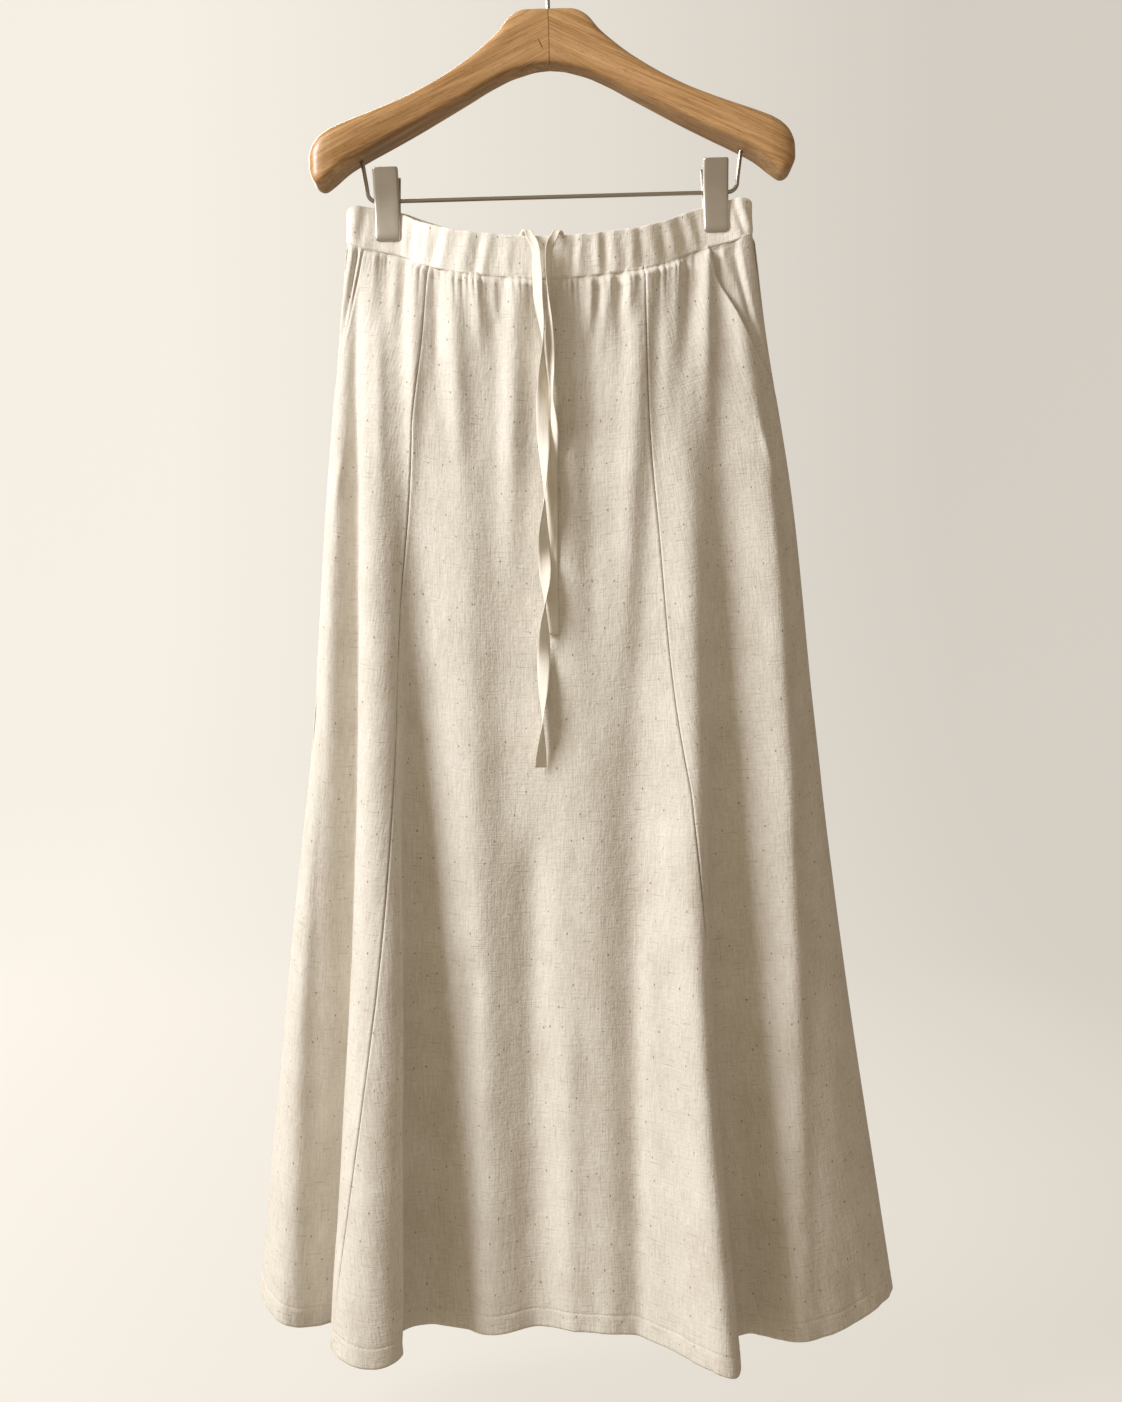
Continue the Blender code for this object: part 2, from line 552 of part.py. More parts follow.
def drill(target, name, foot, tip, diameter):
    """A blind hole from foot to tip, cut by a guide that stays out of the model."""
    foot, tip = Vector(foot) * MM, Vector(tip) * MM
    cutter_mesh = bmesh.new()
    bmesh.ops.create_cone(cutter_mesh, cap_ends=True, segments=12, radius1=diameter / 2 * MM,
                          radius2=diameter / 2 * MM, depth=(tip - foot).length)
    mesh = bpy.data.meshes.new(name)
    cutter_mesh.to_mesh(mesh)
    cutter_mesh.free()
    cutter = bpy.data.objects.new(name, mesh)
    bpy.context.scene.collection.objects.link(cutter)
    cutter.location = (foot + tip) / 2
    cutter.rotation_mode = "QUATERNION"
    cutter.rotation_quaternion = (tip - foot).to_track_quat("Z", "Y")
    cutter.parent = hanger
    cutter.hide_render = True
    cutter.display_type = "WIRE"
    cut = target.modifiers.new(name, "BOOLEAN")
    cut.operation = "DIFFERENCE"
    cut.object = cutter


wood = hanger_wood()
WOOD_TOP = WOOD[0].top
HOOK_RING = HOOK_INNER + HOOK_WIRE / 2
hook_line = [(WOOD_MIDDLE, 0.0, WOOD_TOP - HOOK_HOLE + FIT), (WOOD_MIDDLE, 0.0, WOOD_TOP),
             (WOOD_MIDDLE, 0.0, -56.0), (WOOD_MIDDLE + 0.4, 0.0, -50.0), (0.8, 0.0, -45.6),
             (4.2, 0.0, -42.0)]
hook_line += arc((0.0, -HOOK_INNER), HOOK_RING, -66, 205, 24)
wire("hanger_hook", hook_line, HOOK_WIRE, STEEL)
drill(wood, "hook_hole", (WOOD_MIDDLE, 0.0, WOOD_TOP - HOOK_HOLE), (WOOD_MIDDLE, 0.0, WOOD_TOP + 20.0),
      HOOK_WIRE + 2 * FIT)

left_top, right_top = (BAR_ENDS[0], 0.0, -197.0), (BAR_ENDS[1], 0.0, -197.0)
left_foot, right_foot = (BAR_FEET[0], 0.0, BAR_Z + BAR_BEND), (BAR_FEET[1], 0.0, BAR_Z + BAR_BEND)
bar_line = [left_top, left_foot]
bar_line += arc((BAR_FEET[0] + BAR_BEND, BAR_Z + BAR_BEND), BAR_BEND, 200, 270, 5)
bar_line += arc((BAR_FEET[1] - BAR_BEND, BAR_Z + BAR_BEND), BAR_BEND, 270, 340, 5)
bar_line += [right_foot, right_top]
wire("clip_bar", bar_line, BAR_WIRE, STEEL)
for label, foot, tip in (("bar_hole_left", left_foot, left_top), ("bar_hole_right", right_foot, right_top)):
    beyond = Vector(tip) + (Vector(tip) - Vector(foot)).normalized() * FIT
    drill(wood, label, foot, beyond, BAR_WIRE + 2 * FIT)

# Side view of a clip's front plate about the bar: distance out from the middle, and height
PlateStop = namedtuple("PlateStop", "out up")
PLATE_LINE = [PlateStop(*row) for row in (
    (20.5, 29.5), (13.6, 14.0), (7.6, 3.5), (5.9, -1.0), (5.7, -6.0), (5.2, -12.0),
    (4.9, -17.0), (4.9, -35.0), (6.0, -37.4))]


def clip_plate(name, centre, side):
    """One bent plate of a clip; side is -1 for the front plate and 1 for the back one."""
    line = [Vector((stop.out, stop.up)) for stop in PLATE_LINE]
    points = []
    for index, spot in enumerate(line):
        ahead = line[min(index + 1, len(line) - 1)] - line[max(index - 1, 0)]
        across = Vector((ahead.y, -ahead.x)).normalized() * PLATE / 2
        for edge in (-CLIP_WIDTH / 2, CLIP_WIDTH / 2):
            for face in (-1, 1):
                shifted = spot + across * face
                points.append((centre + edge, side * shifted.x, BAR_Z + shifted.y))
    faces = [(0, 1, 3, 2)]
    for index in range(len(line) - 1):
        base = 4 * index
        for a, b in ((0, 1), (1, 3), (3, 2), (2, 0)):
            faces.append((base + a, base + 4 + a, base + 4 + b, base + b))
    last = 4 * (len(line) - 1)
    faces.append((last + 2, last + 3, last + 1, last))
    plate = add_solid(name, points, faces, STEEL)
    plate.parent = hanger
    return plate


def clip_spring(name, centre):
    """The barrel on the bar that the two plates press against."""
    sides = 16
    half = CLIP_WIDTH / 2 - 2.0
    inner = BAR_WIRE / 2 + FIT
    points = []
    for x, radius in ((-half, SPRING_OUTER), (half, SPRING_OUTER), (half, inner), (-half, inner)):
        for k in range(sides):
            angle = 2 * math.pi * k / sides
            points.append((centre + x, radius * math.cos(angle), BAR_Z + radius * math.sin(angle)))
    faces = []
    for ring in range(4):
        for k in range(sides):
            after = (k + 1) % sides
            here, there = ring * sides, (ring + 1) % 4 * sides
            faces.append((here + k, here + after, there + after, there + k))
    barrel = add_solid(name, points, faces, STEEL)
    barrel.parent = hanger
    return barrel


for label, centre in CLIP_PLACES.items():
    clip_plate(f"clip_{label}_front", centre, -1)
    clip_plate(f"clip_{label}_back", centre, 1)
    clip_spring(f"clip_{label}_spring", centre)
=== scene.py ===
"""A long oatmeal linen skirt with a drawstring waist, clipped to a wooden hanger.

Sizes are in millimetres and are turned to metres where a mesh is made. The skirt's front looks
along -Y, +X is to the right as seen from the front, and the hanger's hook is seated at the origin.
"""
import math
from collections import namedtuple

import bmesh
import bpy
import numpy as np
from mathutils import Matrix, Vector


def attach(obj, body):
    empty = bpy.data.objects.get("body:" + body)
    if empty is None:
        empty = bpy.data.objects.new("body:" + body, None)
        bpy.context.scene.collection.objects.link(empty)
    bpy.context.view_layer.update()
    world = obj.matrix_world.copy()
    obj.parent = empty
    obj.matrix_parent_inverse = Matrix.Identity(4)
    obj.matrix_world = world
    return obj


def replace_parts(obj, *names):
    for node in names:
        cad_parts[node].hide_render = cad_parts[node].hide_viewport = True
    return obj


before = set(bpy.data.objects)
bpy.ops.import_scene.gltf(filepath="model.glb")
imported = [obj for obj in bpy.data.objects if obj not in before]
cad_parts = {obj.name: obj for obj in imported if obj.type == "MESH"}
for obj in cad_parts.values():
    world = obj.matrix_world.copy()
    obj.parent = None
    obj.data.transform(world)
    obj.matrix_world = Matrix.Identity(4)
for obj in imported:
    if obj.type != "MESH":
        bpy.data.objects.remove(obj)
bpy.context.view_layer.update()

# The camera looks straight at the front, level with the thighs, from a step and a half away.
# Its whole frame is 1402 pixels high and its focal length is 1641 of them.
FRAME_HEIGHT = 1402
FOCAL_PIXELS = 1641
LONG_SIDE = 36.0
CAMERA_PLACE = (0.012, -1.5, -0.705)  # in metres
camera_settings = bpy.data.cameras.new("camera")
camera_settings.sensor_width = LONG_SIDE
camera_settings.lens = LONG_SIDE * FOCAL_PIXELS / FRAME_HEIGHT
camera = bpy.data.objects.new("camera", camera_settings)
camera.location = CAMERA_PLACE
camera.rotation_euler = (math.radians(90), 0, 0)
bpy.context.scene.collection.objects.link(camera)
bpy.context.scene.camera = camera


# The two free ends of the drawstring: a flat woven cotton tape, 11.5 mm wide, that comes over
# the band's top edge at the middle of the front and hangs down in slow turns about itself.
# Ivory, smoother than the skirt, with a slight gloss along its woven edges.
MM = 0.001
TAPE_WIDTH = 11.5
TAPE_THICKNESS = 0.9
TAPE_EDGE = (0.8, 8)  # how far it thins towards its woven edges, and how late
TAPE_STEP = 2.5
TAPE_STRIPS = 8  # facets across the tape
TAPE_HOLLOW = 1.0
PINCH = 0.55  # share of its width where the tape leaves the band
PINCH_ENDS = (16.0, 62.0)
TapePoint = namedtuple("TapePoint", "x y z turn")
TAPE_LONG = [TapePoint(*row) for row in (
    (-24, -23.4, -297, 0), (-22.5, -23.7, -286.4, 0), (-20.5, -26.3, -283.6, 0),
    (-18, -30.2, -283.8, 0), (-16, -32.4, -288.6, 8), (-11.5, -35.3, -298, 34), (-9.5, -36.1, -318, 38),
    (-8, -37.9, -348, 48), (-4.8, -39.9, -372, 72), (-3.9, -40.7, -386, 90),
    (-4, -40.5, -408, 122), (-4.4, -38.3, -440, 168), (-3.8, -39.3, -466, 190),
    (-3, -42.5, -494, 232), (-2.6, -44.9, -526, 272), (-3.6, -44.1, -554, 314),
    (-2.6, -40.5, -576, 352), (-1.8, -42.5, -598, 400), (-1.8, -45.7, -620, 450),
    (-2.8, -45.1, -642, 496), (-3.2, -41.1, -664, 536), (-3.8, -42.7, -688, 572),
    (-4.2, -45.6, -712, 612), (-4.4, -46.1, -724, 630), (-5.4, -45.1, -746, 668),
    (-6.2, -43.2, -764, 696))]
TAPE_SHORT = [TapePoint(*row) for row in (
    (13.5, -23.4, -297, 0), (12, -23.7, -287, 0), (10.4, -26.3, -284.2, 0),
    (8, -30.2, -284.4, 0), (6, -32.4, -289.2, -8), (1.6, -35.8, -299, -44), (0.6, -36.9, -318, -62),
    (0.8, -38.8, -345, -88), (1.2, -38.5, -366, -118), (2.2, -38.3, -390, -128),
    (3.2, -39.3, -412, -116), (4, -40.3, -434, -96), (4.8, -38.7, -462, -140),
    (3.4, -36.8, -494, -165), (3.2, -37.2, -526, -170), (3.4, -37.5, -560, -176),
    (3.8, -37.5, -600, -180), (4.2, -38.1, -624, -184), (4.6, -39.1, -646, -186))]
TAPE_IVORY = "#EAE5DA"
TAPE_SHADE = "#DAD2C2"


def colour(code):
    """A linear colour from its sRGB hex value."""
    parts = [int(code[k:k + 2], 16) / 255 for k in (1, 3, 5)]
    return (*(p / 12.92 if p <= 0.04045 else ((p + 0.055) / 1.055) ** 2.4 for p in parts), 1.0)


def feed(tree, node, sockets):
    """Give each socket of a node its value, or link it to another node's output."""
    for socket, value in sockets.items():
        if isinstance(value, bpy.types.NodeSocket):
            tree.links.new(value, node.inputs[socket])
        else:
            node.inputs[socket].default_value = value


def add_node(tree, kind, sockets=None, give=0, **settings):
    """One shader node with its settings and its fed sockets; the output to use comes back."""
    node = tree.nodes.new("ShaderNode" + kind)
    for name, value in settings.items():
        setattr(node, name, value)
    feed(tree, node, sockets or {})
    return node.outputs[give]


def start_material(name, **sockets):
    """A material with one Principled shader, whose plain sockets are set here."""
    finish = bpy.data.materials.new(name)
    finish.use_nodes = True
    shader = finish.node_tree.nodes["Principled BSDF"]
    feed(finish.node_tree, shader, {socket.replace("_", " "): value for socket, value in sockets.items()})
    return finish, finish.node_tree, shader


def sized_pattern(tree, place, size, detail, low=0.0, high=1.0, distortion=0.0):
    """An uneven pattern with patches of a size in millimetres, 0 at low and 1 at high."""
    scale = (*(1 / (MM * part) for part in size), 1.0)[:3]
    laid = add_node(tree, "VectorMath", {0: place, 1: scale}, operation="MULTIPLY")
    field = add_node(tree, "TexNoise", {"Vector": laid, "Scale": 1.0, "Detail": detail,
                                        "Distortion": distortion})
    return add_node(tree, "MapRange", {"Value": field, "From Min": low, "From Max": high})


def woven_cotton_tape():
    """Ivory cotton tape in fine twill: smooth, with a soft sheen and faint ribs along its length."""
    finish, tree, shader = start_material("woven_cotton_tape", Roughness=0.62, Sheen_Weight=0.35,
                                          Sheen_Roughness=0.4, Specular_IOR_Level=0.35)
    cloth = add_node(tree, "UVMap", uv_map="cloth")
    rib = sized_pattern(tree, cloth, (1.1, 24), 2.0)
    patch = sized_pattern(tree, cloth, (9, 30), 1.0)
    tone = add_node(tree, "Math", {0: rib, 1: patch}, operation="ADD")
    spread = add_node(tree, "MapRange", {"Value": tone, "From Min": 0.7, "From Max": 1.3})
    feed(tree, shader, {
        "Base Color": add_node(tree, "MixRGB", {"Fac": spread, "Color1": colour(TAPE_SHADE),
                                                "Color2": colour(TAPE_IVORY)}),
        "Normal": add_node(tree, "Bump", {"Height": rib, "Strength": 0.6, "Distance": 0.0003})})
    return finish


COTTON_TAPE = woven_cotton_tape()


def add_piece(name, points, faces, finish, flat=None):
    """One piece from points in millimetres, with its place on the flat cloth where that is given."""
    mesh = bpy.data.meshes.new(name)
    mesh.from_pydata((np.asarray(points, dtype=float) * MM).tolist(), [], faces)
    if flat is not None:
        layer = mesh.uv_layers.new(name="cloth")
        corners = np.zeros(len(mesh.loops), dtype=np.int32)
        mesh.loops.foreach_get("vertex_index", corners)
        layer.data.foreach_set("uv", (np.asarray(flat, dtype=float)[corners] * MM).ravel())
    mesh.shade_smooth()
    mesh.materials.append(finish)
    piece = bpy.data.objects.new(name, mesh)
    bpy.context.scene.collection.objects.link(piece)
    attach(piece, "root")
    return piece


def unit(directions):
    """Directions of length one."""
    return directions / np.linalg.norm(directions, axis=1)[:, None]


def bend(start, end, leaving, arriving, t):
    """Points on cubic curves from start to end, with the given slopes at their ends."""
    return (start * (1 + 2 * t) * (1 - t) ** 2 + leaving * t * (1 - t) ** 2
            + end * t * t * (3 - 2 * t) + arriving * t * t * (t - 1))


def through(knots, values, marks):
    """A smooth curve through values given at knots, read at the marks."""
    knots, values, marks = (np.asarray(part, dtype=float) for part in (knots, values, marks))
    slopes = np.gradient(values, knots, axis=0)
    i = np.clip(np.searchsorted(knots, marks, side="right") - 1, 0, len(knots) - 2)
    span = knots[i + 1] - knots[i]
    t = (marks - knots[i]) / span
    if values.ndim > 1:
        t, span = t[:, None], span[:, None]
    return bend(values[i], values[i + 1], slopes[i] * span, slopes[i + 1] * span, t)


def travelled(line):
    """Distance along a line at each of its points."""
    return np.concatenate([[0.0], np.cumsum(np.linalg.norm(np.diff(line, axis=0), axis=1))])


def grid_faces(rows, columns, ring=False):
    """Quads between rows of points; a ring closes each row on itself."""
    faces = []
    for row in range(rows - 1):
        for column in range(columns if ring else columns - 1):
            after = (column + 1) % columns
            faces.append((row * columns + column, (row + 1) * columns + column,
                          (row + 1) * columns + after, row * columns + after))
    return faces


def end_faces(rows, columns):
    """The two faces that close a tube of rings at its ends."""
    last = (rows - 1) * columns
    return [tuple(range(columns)), tuple(last + k for k in reversed(range(columns)))]


def drawstring(name, node, stops):
    """A flat tape along its stops, slightly hollow across its width, turned about its own length."""
    stops = np.array([tuple(stop) for stop in stops], dtype=float)
    reach = travelled(stops[:, :3])
    route = through(reach, stops, np.linspace(0, reach[-1], int(reach[-1] / TAPE_STEP)))
    line = route[:, :3]
    ahead = unit(np.gradient(line, axis=0))
    across = unit(np.array([1.0, 0, 0]) - ahead * ahead[:, :1])
    angle = np.radians(route[:, 3])[:, None]
    wide = across * np.cos(angle) + np.cross(ahead, across) * np.sin(angle)
    thick = np.cross(ahead, wide)
    step = np.linspace(-1, 1, TAPE_STRIPS + 1)
    hollow = TAPE_HOLLOW * (step ** 2 - 0.5) / 2
    half = TAPE_THICKNESS / 2 * np.sqrt(1 - TAPE_EDGE[0] * step ** TAPE_EDGE[1])
    ring = list(zip(step, hollow + half)) + list(zip(step[::-1], (hollow - half)[::-1]))
    length = travelled(line)
    pinch = np.interp(length, PINCH_ENDS, (PINCH, 1.0))[:, None]
    points = np.stack([line + wide * side * TAPE_WIDTH / 2 * pinch + thick * out / pinch
                       for side, out in ring], axis=1)
    flat = [(side * TAPE_WIDTH / 2, mark) for mark in length for side, _ in ring]
    faces = grid_faces(*points.shape[:2], ring=True) + end_faces(*points.shape[:2])
    piece = add_piece(name, points.reshape(-1, 3), faces, COTTON_TAPE, flat)
    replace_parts(piece, node)


drawstring("tape_long_end", "drawstring_long", TAPE_LONG)
drawstring("tape_short_end", "drawstring_short", TAPE_SHORT)


# The centre front panel: linen and cotton in plain weave, washed soft, cut as a flared gore and
# gathered into the band. Its two long edges are sewn to the side panels in the princess seams.
# The fold table holds the garment's large folds at six heights; finer ones are laid on it here.
CLOTH = 1.1  # thickness of one layer
SEAM_GAP = 0.3
LEVELS = np.array([0.0, 0.078, 0.24, 0.45, 0.66, 1.0])
Fold = namedtuple("Fold", "name waist hip thigh knee calf hem waist_z hem_z")
FOLDS = [Fold(*row) for row in (
    ("side_left", (-184, 0), (-190, 1), (-202, 2), (-214, 4), (-233, 5), (-263, 8), -287, -1240),
    ("a_ridge", (-178, -5.5), (-182, -8), (-190, -15), (-199, -23), (-213, -31), (-226, -46), -290, -1260),
    ("ab_valley", (-172, -6.5), (-174, -7), (-173, -8), (-173, -10), (-175, -13), (-183, -15), -292, -1263),
    ("b_left", (-166, -5.2), (-169, -12), (-169, -24), (-169, -36), (-173, -50), (-188, -80), -294, -1262),
    ("b_ridge", (-156, -3.4), (-159, -17), (-156, -33), (-152, -51), (-149, -72), (-150, -112), -295, -1271),
    ("b_right", (-146, -3.4), (-147, -18), (-141, -31), (-134, -44), (-128, -60), (-124, -92), -297, -1266),
    ("b_root", (-133.5, -3.6), (-137, -19), (-132, -27), (-129, -32), (-129, -36), (-131, -50), -300, -1265),
    ("bc_valley", (-121, -10), (-124, -21), (-116, -25), (-109, -26), (-104, -26), (-104, -26), -307, -1265),
    ("c1_ridge", (-86, -24), (-83, -28), (-75, -34), (-68, -39), (-61, -45), (-49, -54), -319, -1264),
    ("c1c_valley", (-47, -27), (-43, -29), (-42, -31), (-36, -35), (-27, -41), (-8, -50), -324, -1259),
    ("c_ridge", (7, -28), (11, -31), (30, -36), (42, -43), (49, -52), (59, -66), -326, -1259),
    ("cd_valley", (83, -20), (85, -26), (83, -31), (82, -38), (83, -47), (86, -62), -316, -1263),
    ("d_ridge", (112, -12), (112, -23), (123, -39), (126, -55), (129, -76), (149, -118), -306, -1274),
    ("d_right", (129, -6), (128, -21), (137, -34), (139, -49), (142, -66), (165, -106), -298, -1276),
    ("d_root", (142, -3.4), (141, -18), (147, -27), (145, -33), (144, -41), (164, -54), -293, -1272),
    ("de_valley", (153, -3.4), (152, -15), (161, -22), (162, -24), (164, -26), (181, -30), -290, -1272),
    ("e_ridge", (165, -3.9), (174, -12), (200, -26), (213, -35), (221, -45), (217, -60), -287, -1268),
    ("e_shoulder", (178, -5.5), (186, -8), (210, -15), (226, -21), (243, -30), (269, -42), -283, -1261),
    ("side_right", (187, 0), (197, 1), (222, 2), (243, 3), (267, 5), (316, 8), -279, -1242),
    ("f_shoulder", (179, 5.5), (187, 9), (209, 16), (226, 23), (244, 32), (276, 52), -282, -1256),
    ("fg_valley", (165, 3.8), (168, 12), (182, 16), (196, 19), (210, 21), (238, 22), -287, -1262),
    ("g_ridge", (150, 3.4), (150, 18), (160, 31), (170, 46), (180, 62), (198, 92), -291, -1267),
    ("gh_valley", (137, 3.6), (124, 19), (125, 23), (128, 27), (132, 29), (142, 30), -295, -1262),
    ("h_ridge", (92, 15), (88, 26), (90, 36), (92, 48), (94, 60), (98, 80), -310, -1262),
    ("hi_valley", (50, 18), (50, 25), (50, 29), (50, 33), (49, 35), (47, 36), -320, -1258),
    ("i_ridge", (14, 19), (12, 28), (8, 38), (4, 50), (0, 64), (-8, 88), -322, -1262),
    ("ij_valley", (-26, 18), (-30, 25), (-34, 29), (-39, 31), (-45, 33), (-56, 32), -319, -1259),
    ("j_ridge", (-66, 17), (-69, 26), (-74, 37), (-81, 49), (-89, 62), (-102, 84), -313, -1262),
    ("jk_valley", (-104, 12), (-107, 19), (-114, 23), (-123, 26), (-132, 28), (-147, 26), -305, -1260),
    ("k_ridge", (-135, 3.6), (-141, 17), (-150, 29), (-160, 43), (-170, 57), (-188, 80), -297, -1262),
    ("kl_valley", (-158, 3.6), (-161, 11), (-173, 15), (-186, 18), (-198, 20), (-217, 20), -293, -1256),
    ("l_shoulder", (-174, 6), (-180, 9), (-192, 15), (-205, 21), (-220, 29), (-243, 40), -289, -1250))]
TURN = len(FOLDS)
SIDE_RIGHT = [fold.name for fold in FOLDS].index("side_right")
Crossing = namedtuple("Crossing", "down place")
PRINCESS_LEFT = [Crossing(*row) for row in (
    (0.0, 7.4), (0.078, 7.3), (0.24, 6.5), (0.45, 5.0), (0.66, 4.1), (1.0, 3.1))]
PRINCESS_RIGHT = [Crossing(*row) for row in (
    (0.0, 11.1), (0.078, 11.1), (0.24, 11.35), (0.45, 11.8), (0.66, 12.9), (1.0, 14.3))]

# Short and middling folds on the front, listed one by one: where each starts and ends across the front, how far
# down it runs as shares of the length, its half width, and how far it stands out
Crease = namedtuple("Crease", "x_top x_end top end width height")
FRONT_CREASES = [Crease(*row) for row in (
    (-137, -140, 0.0, 0.09, 5.5, 1.4), (-116, -126, 0.0, 0.27, 8, 2.0), (-86, -75, 0.0, 0.24, 9, 1.7),
    (-64, -59, 0.0, 0.08, 6, 1.3), (-50, -47, 0.0, 0.05, 4.5, 1.0), (-29, -35, 0.0, 0.36, 11, 2.2),
    (17, 13, 0.0, 0.13, 6, 1.1), (40, 37, 0.0, 0.07, 5, 1.1), (52, 46, 0.0, 0.11, 5.5, 1.2),
    (73, 70, 0.0, 0.06, 5, 1.2), (85, 62, 0.0, 0.52, 13, 2.3), (113, 107, 0.0, 0.17, 9, 1.7),
    (141, 145, 0.0, 0.2, 8, 2.0), (160, 193, 0.0, 0.18, 9, 1.6),
    (37, 40, 0.02, 0.5, 12, -1.5), (127, 127, 0.0, 0.13, 6, -1.1), (-102, -100, 0.0, 0.16, 6, -1.2),
    (-152, -149, 0.05, 0.3, 6, 0.8), (-14, -6, 0.52, 1.3, 15, -1.9), (92, 95, 0.6, 1.3, 12, 1.2),
    (18, 27, 0.68, 1.3, 12, 1.3), (-70, -74, 0.62, 1.3, 11, -1.2), (186, 209, 0.15, 0.245, 3.2, 1.1),
    (-184, -195, 0.18, 0.265, 3.2, 1.0), (232, 246, 0.5, 1.3, 14, -1.6), (-205, -214, 0.4, 1.3, 11, -1.3))]
CREASE_RISE = 2.9  # every height above is multiplied by this
CREASE_START = 0.06  # the share of the length over which a crease comes up
CREASE_FADE = 0.35  # the share of its own length after which it dies out
GATHER_PITCH = 7.2  # one stitch-drawn pleat under the band
GATHER_DEPTH = 3.1
GATHER_SHIFTS = ((0.42, 17, 0.5), (0.3, 7.3, 2.0))  # uneven spacing: how far, how long, from where
TOOTH_STRENGTH = (0.6, 0.4)  # middle and half range of a pleat's depth, and of its run down the cloth
TOOTH_RUN = (12.0, 6.0)
TOOTH_FADE = 1.2
PLEAT_DEPTH = 3.3
PLEAT_RUN = 75.0
PLEAT_FADE = 1.4
Swell = namedtuple("Swell", "height across down")
PLEATS = [Swell(1.0, 9.5, 160), Swell(0.6, 17, 220)]
CLOTH_SWELLS = [Swell(0.55, 26, 75), Swell(0.2, 9.5, 24), Swell(0.08, 5.1, 8.5)]
SWELLS_GROW = (4, 60)  # the stretch below the band over which the swells grow
SEAM_QUIET = 9.0  # they die out this far from a seam
SEAM_TURN = (0.95, 1.5)  # the seam's turned edge: how deep, over what width
SEAM_WELT = (0.25, 2.0, 1.1)  # the welt beside it: its height, place and half width
BAND_HOLD = (6.0, 0.3, 1.1)  # under the band: over what length, how much relief is left, how far it sinks
LENGTH = 945.0  # from the waist seam down to the hem
HEM_DEPTH = 16.5  # from the folded edge up to the hem's stitching
HEM_SWELL = Swell(1.0, 8.5, 26)
HEM_SWELL_LEAN = 30.0
HEM_SWELL_REACH = 34.0
HEM_GROOVE = (0.4, 0.9)  # where the stitches pull the cloth in: depth and half width
HEM_STEP = (0.1, 1.2)  # the doubled cloth below them: height, and over what width
HEM_ROUND = (0.9, 1.5)  # the folded edge: how deep, over what height
WAIST_ROWS = (-2.5, -0.6, 0.0, 0.5, 1.0, 1.7, 2.6, 3.8)
HEM_ROWS = (26, 22.5, 19.5, 18.2, 17.4, 16.9, 16.5, 16.1, 15.6, 14.5, 12.5, 10, 7, 4, 2, 0.9, 0.0)
EDGE_MARKS = (0.15, 0.5, 1.0, 1.6, 2.4, 3.6)
GATHERED_LENGTH = 110.0  # the rows lie close together as far down as this
GATHERED_STEP = 2.1
FALLING_STEP = 8.0
ROW_MARGINS = (4.0, 3.0)  # between the close rows and the wide ones, at their start and end
FLAX_LIGHT = "#E9E5DD"
FLAX_DARK = "#C4BCAE"
FLAX_FLECK = "#6E5A41"


def closed_slopes(steps, values):
    """Slopes at the points of a closed curve that bends evenly through all of them."""
    here, before = np.arange(len(steps)), np.roll(steps, 1)
    rise = (np.roll(values, -1, axis=0) - values) / steps[:, None]
    weights = np.zeros((len(steps), len(steps)))
    weights[here, here - 1] = steps
    weights[here, here] = 2.0 * (steps + before)
    weights[here, (here + 1) % len(steps)] = before
    pull = 3.0 * (steps[:, None] * np.roll(rise, 1, axis=0) + before[:, None] * rise)
    return np.linalg.solve(weights, pull)


class ClosedCurve:
    """A smooth closed curve through its points; a place on it is counted in points."""

    def __init__(self, values, even=False):
        self.values = np.asarray(values, dtype=float)
        reach = np.linalg.norm(np.roll(self.values, -1, axis=0) - self.values, axis=1)
        self.steps = np.ones(len(reach)) if even else np.sqrt(reach)
        self.slopes = closed_slopes(self.steps, self.values)

    def at(self, places):
        """Positions and directions of travel at many places."""
        places = np.asarray(places, dtype=float) % TURN
        i = np.floor(places).astype(int) % TURN
        after = (i + 1) % TURN
        t = (places - np.floor(places))[:, None]
        step = self.steps[i][:, None]
        a, b, m, n = self.values[i], self.values[after], self.slopes[i] * step, self.slopes[after] * step
        travel = (a * 6 * t * (t - 1) + m * (1 - t) * (1 - 3 * t)
                  + b * 6 * t * (1 - t) + n * t * (3 * t - 2))
        return bend(a, b, m, n, t), travel


PLAN_TABLE = np.array([[getattr(fold, level) for fold in FOLDS]
                       for level in ("waist", "hip", "thigh", "knee", "calf", "hem")], dtype=float)
WAIST_Z = ClosedCurve([[fold.waist_z] for fold in FOLDS], even=True)
HEM_Z = ClosedCurve([[fold.hem_z] for fold in FOLDS], even=True)
plans = {}


def plan(down):
    """The skirt's outline from above at a share of the way down to the hem."""
    key = round(float(down), 6)
    if key not in plans:
        flat_table = PLAN_TABLE.reshape(len(LEVELS), -1)
        plans[key] = ClosedCurve(through(LEVELS, flat_table, [max(key, 0.0)])[0].reshape(TURN, 2))
    return plans[key]


def surface(places, down):
    """Points of the folds' surface from above, and the directions that point out of the skirt."""
    spot, travel = plan(down).at(places)
    ahead = unit(travel)
    return spot, np.stack([ahead[:, 1], -ahead[:, 0]], axis=1)


def cloth_row(places, down, out):
    """Points of one row, moved outwards from the folds' surface."""
    spot, outward = surface(places, down)
    x, y = (spot + outward * np.asarray(out)[:, None]).T
    top, low = WAIST_Z.at(places)[0][:, 0], HEM_Z.at(places)[0][:, 0]
    return np.stack([x, y, top - SEAM_GAP / 2 + (low - top) * down], axis=1)


AROUND = np.linspace(0, TURN, 40 * TURN)
WAIST_REACH = travelled(plan(0.0).at(AROUND)[0])
FIELD = 512
LATTICE = np.random.RandomState(7).uniform(-1, 1, (FIELD, FIELD))


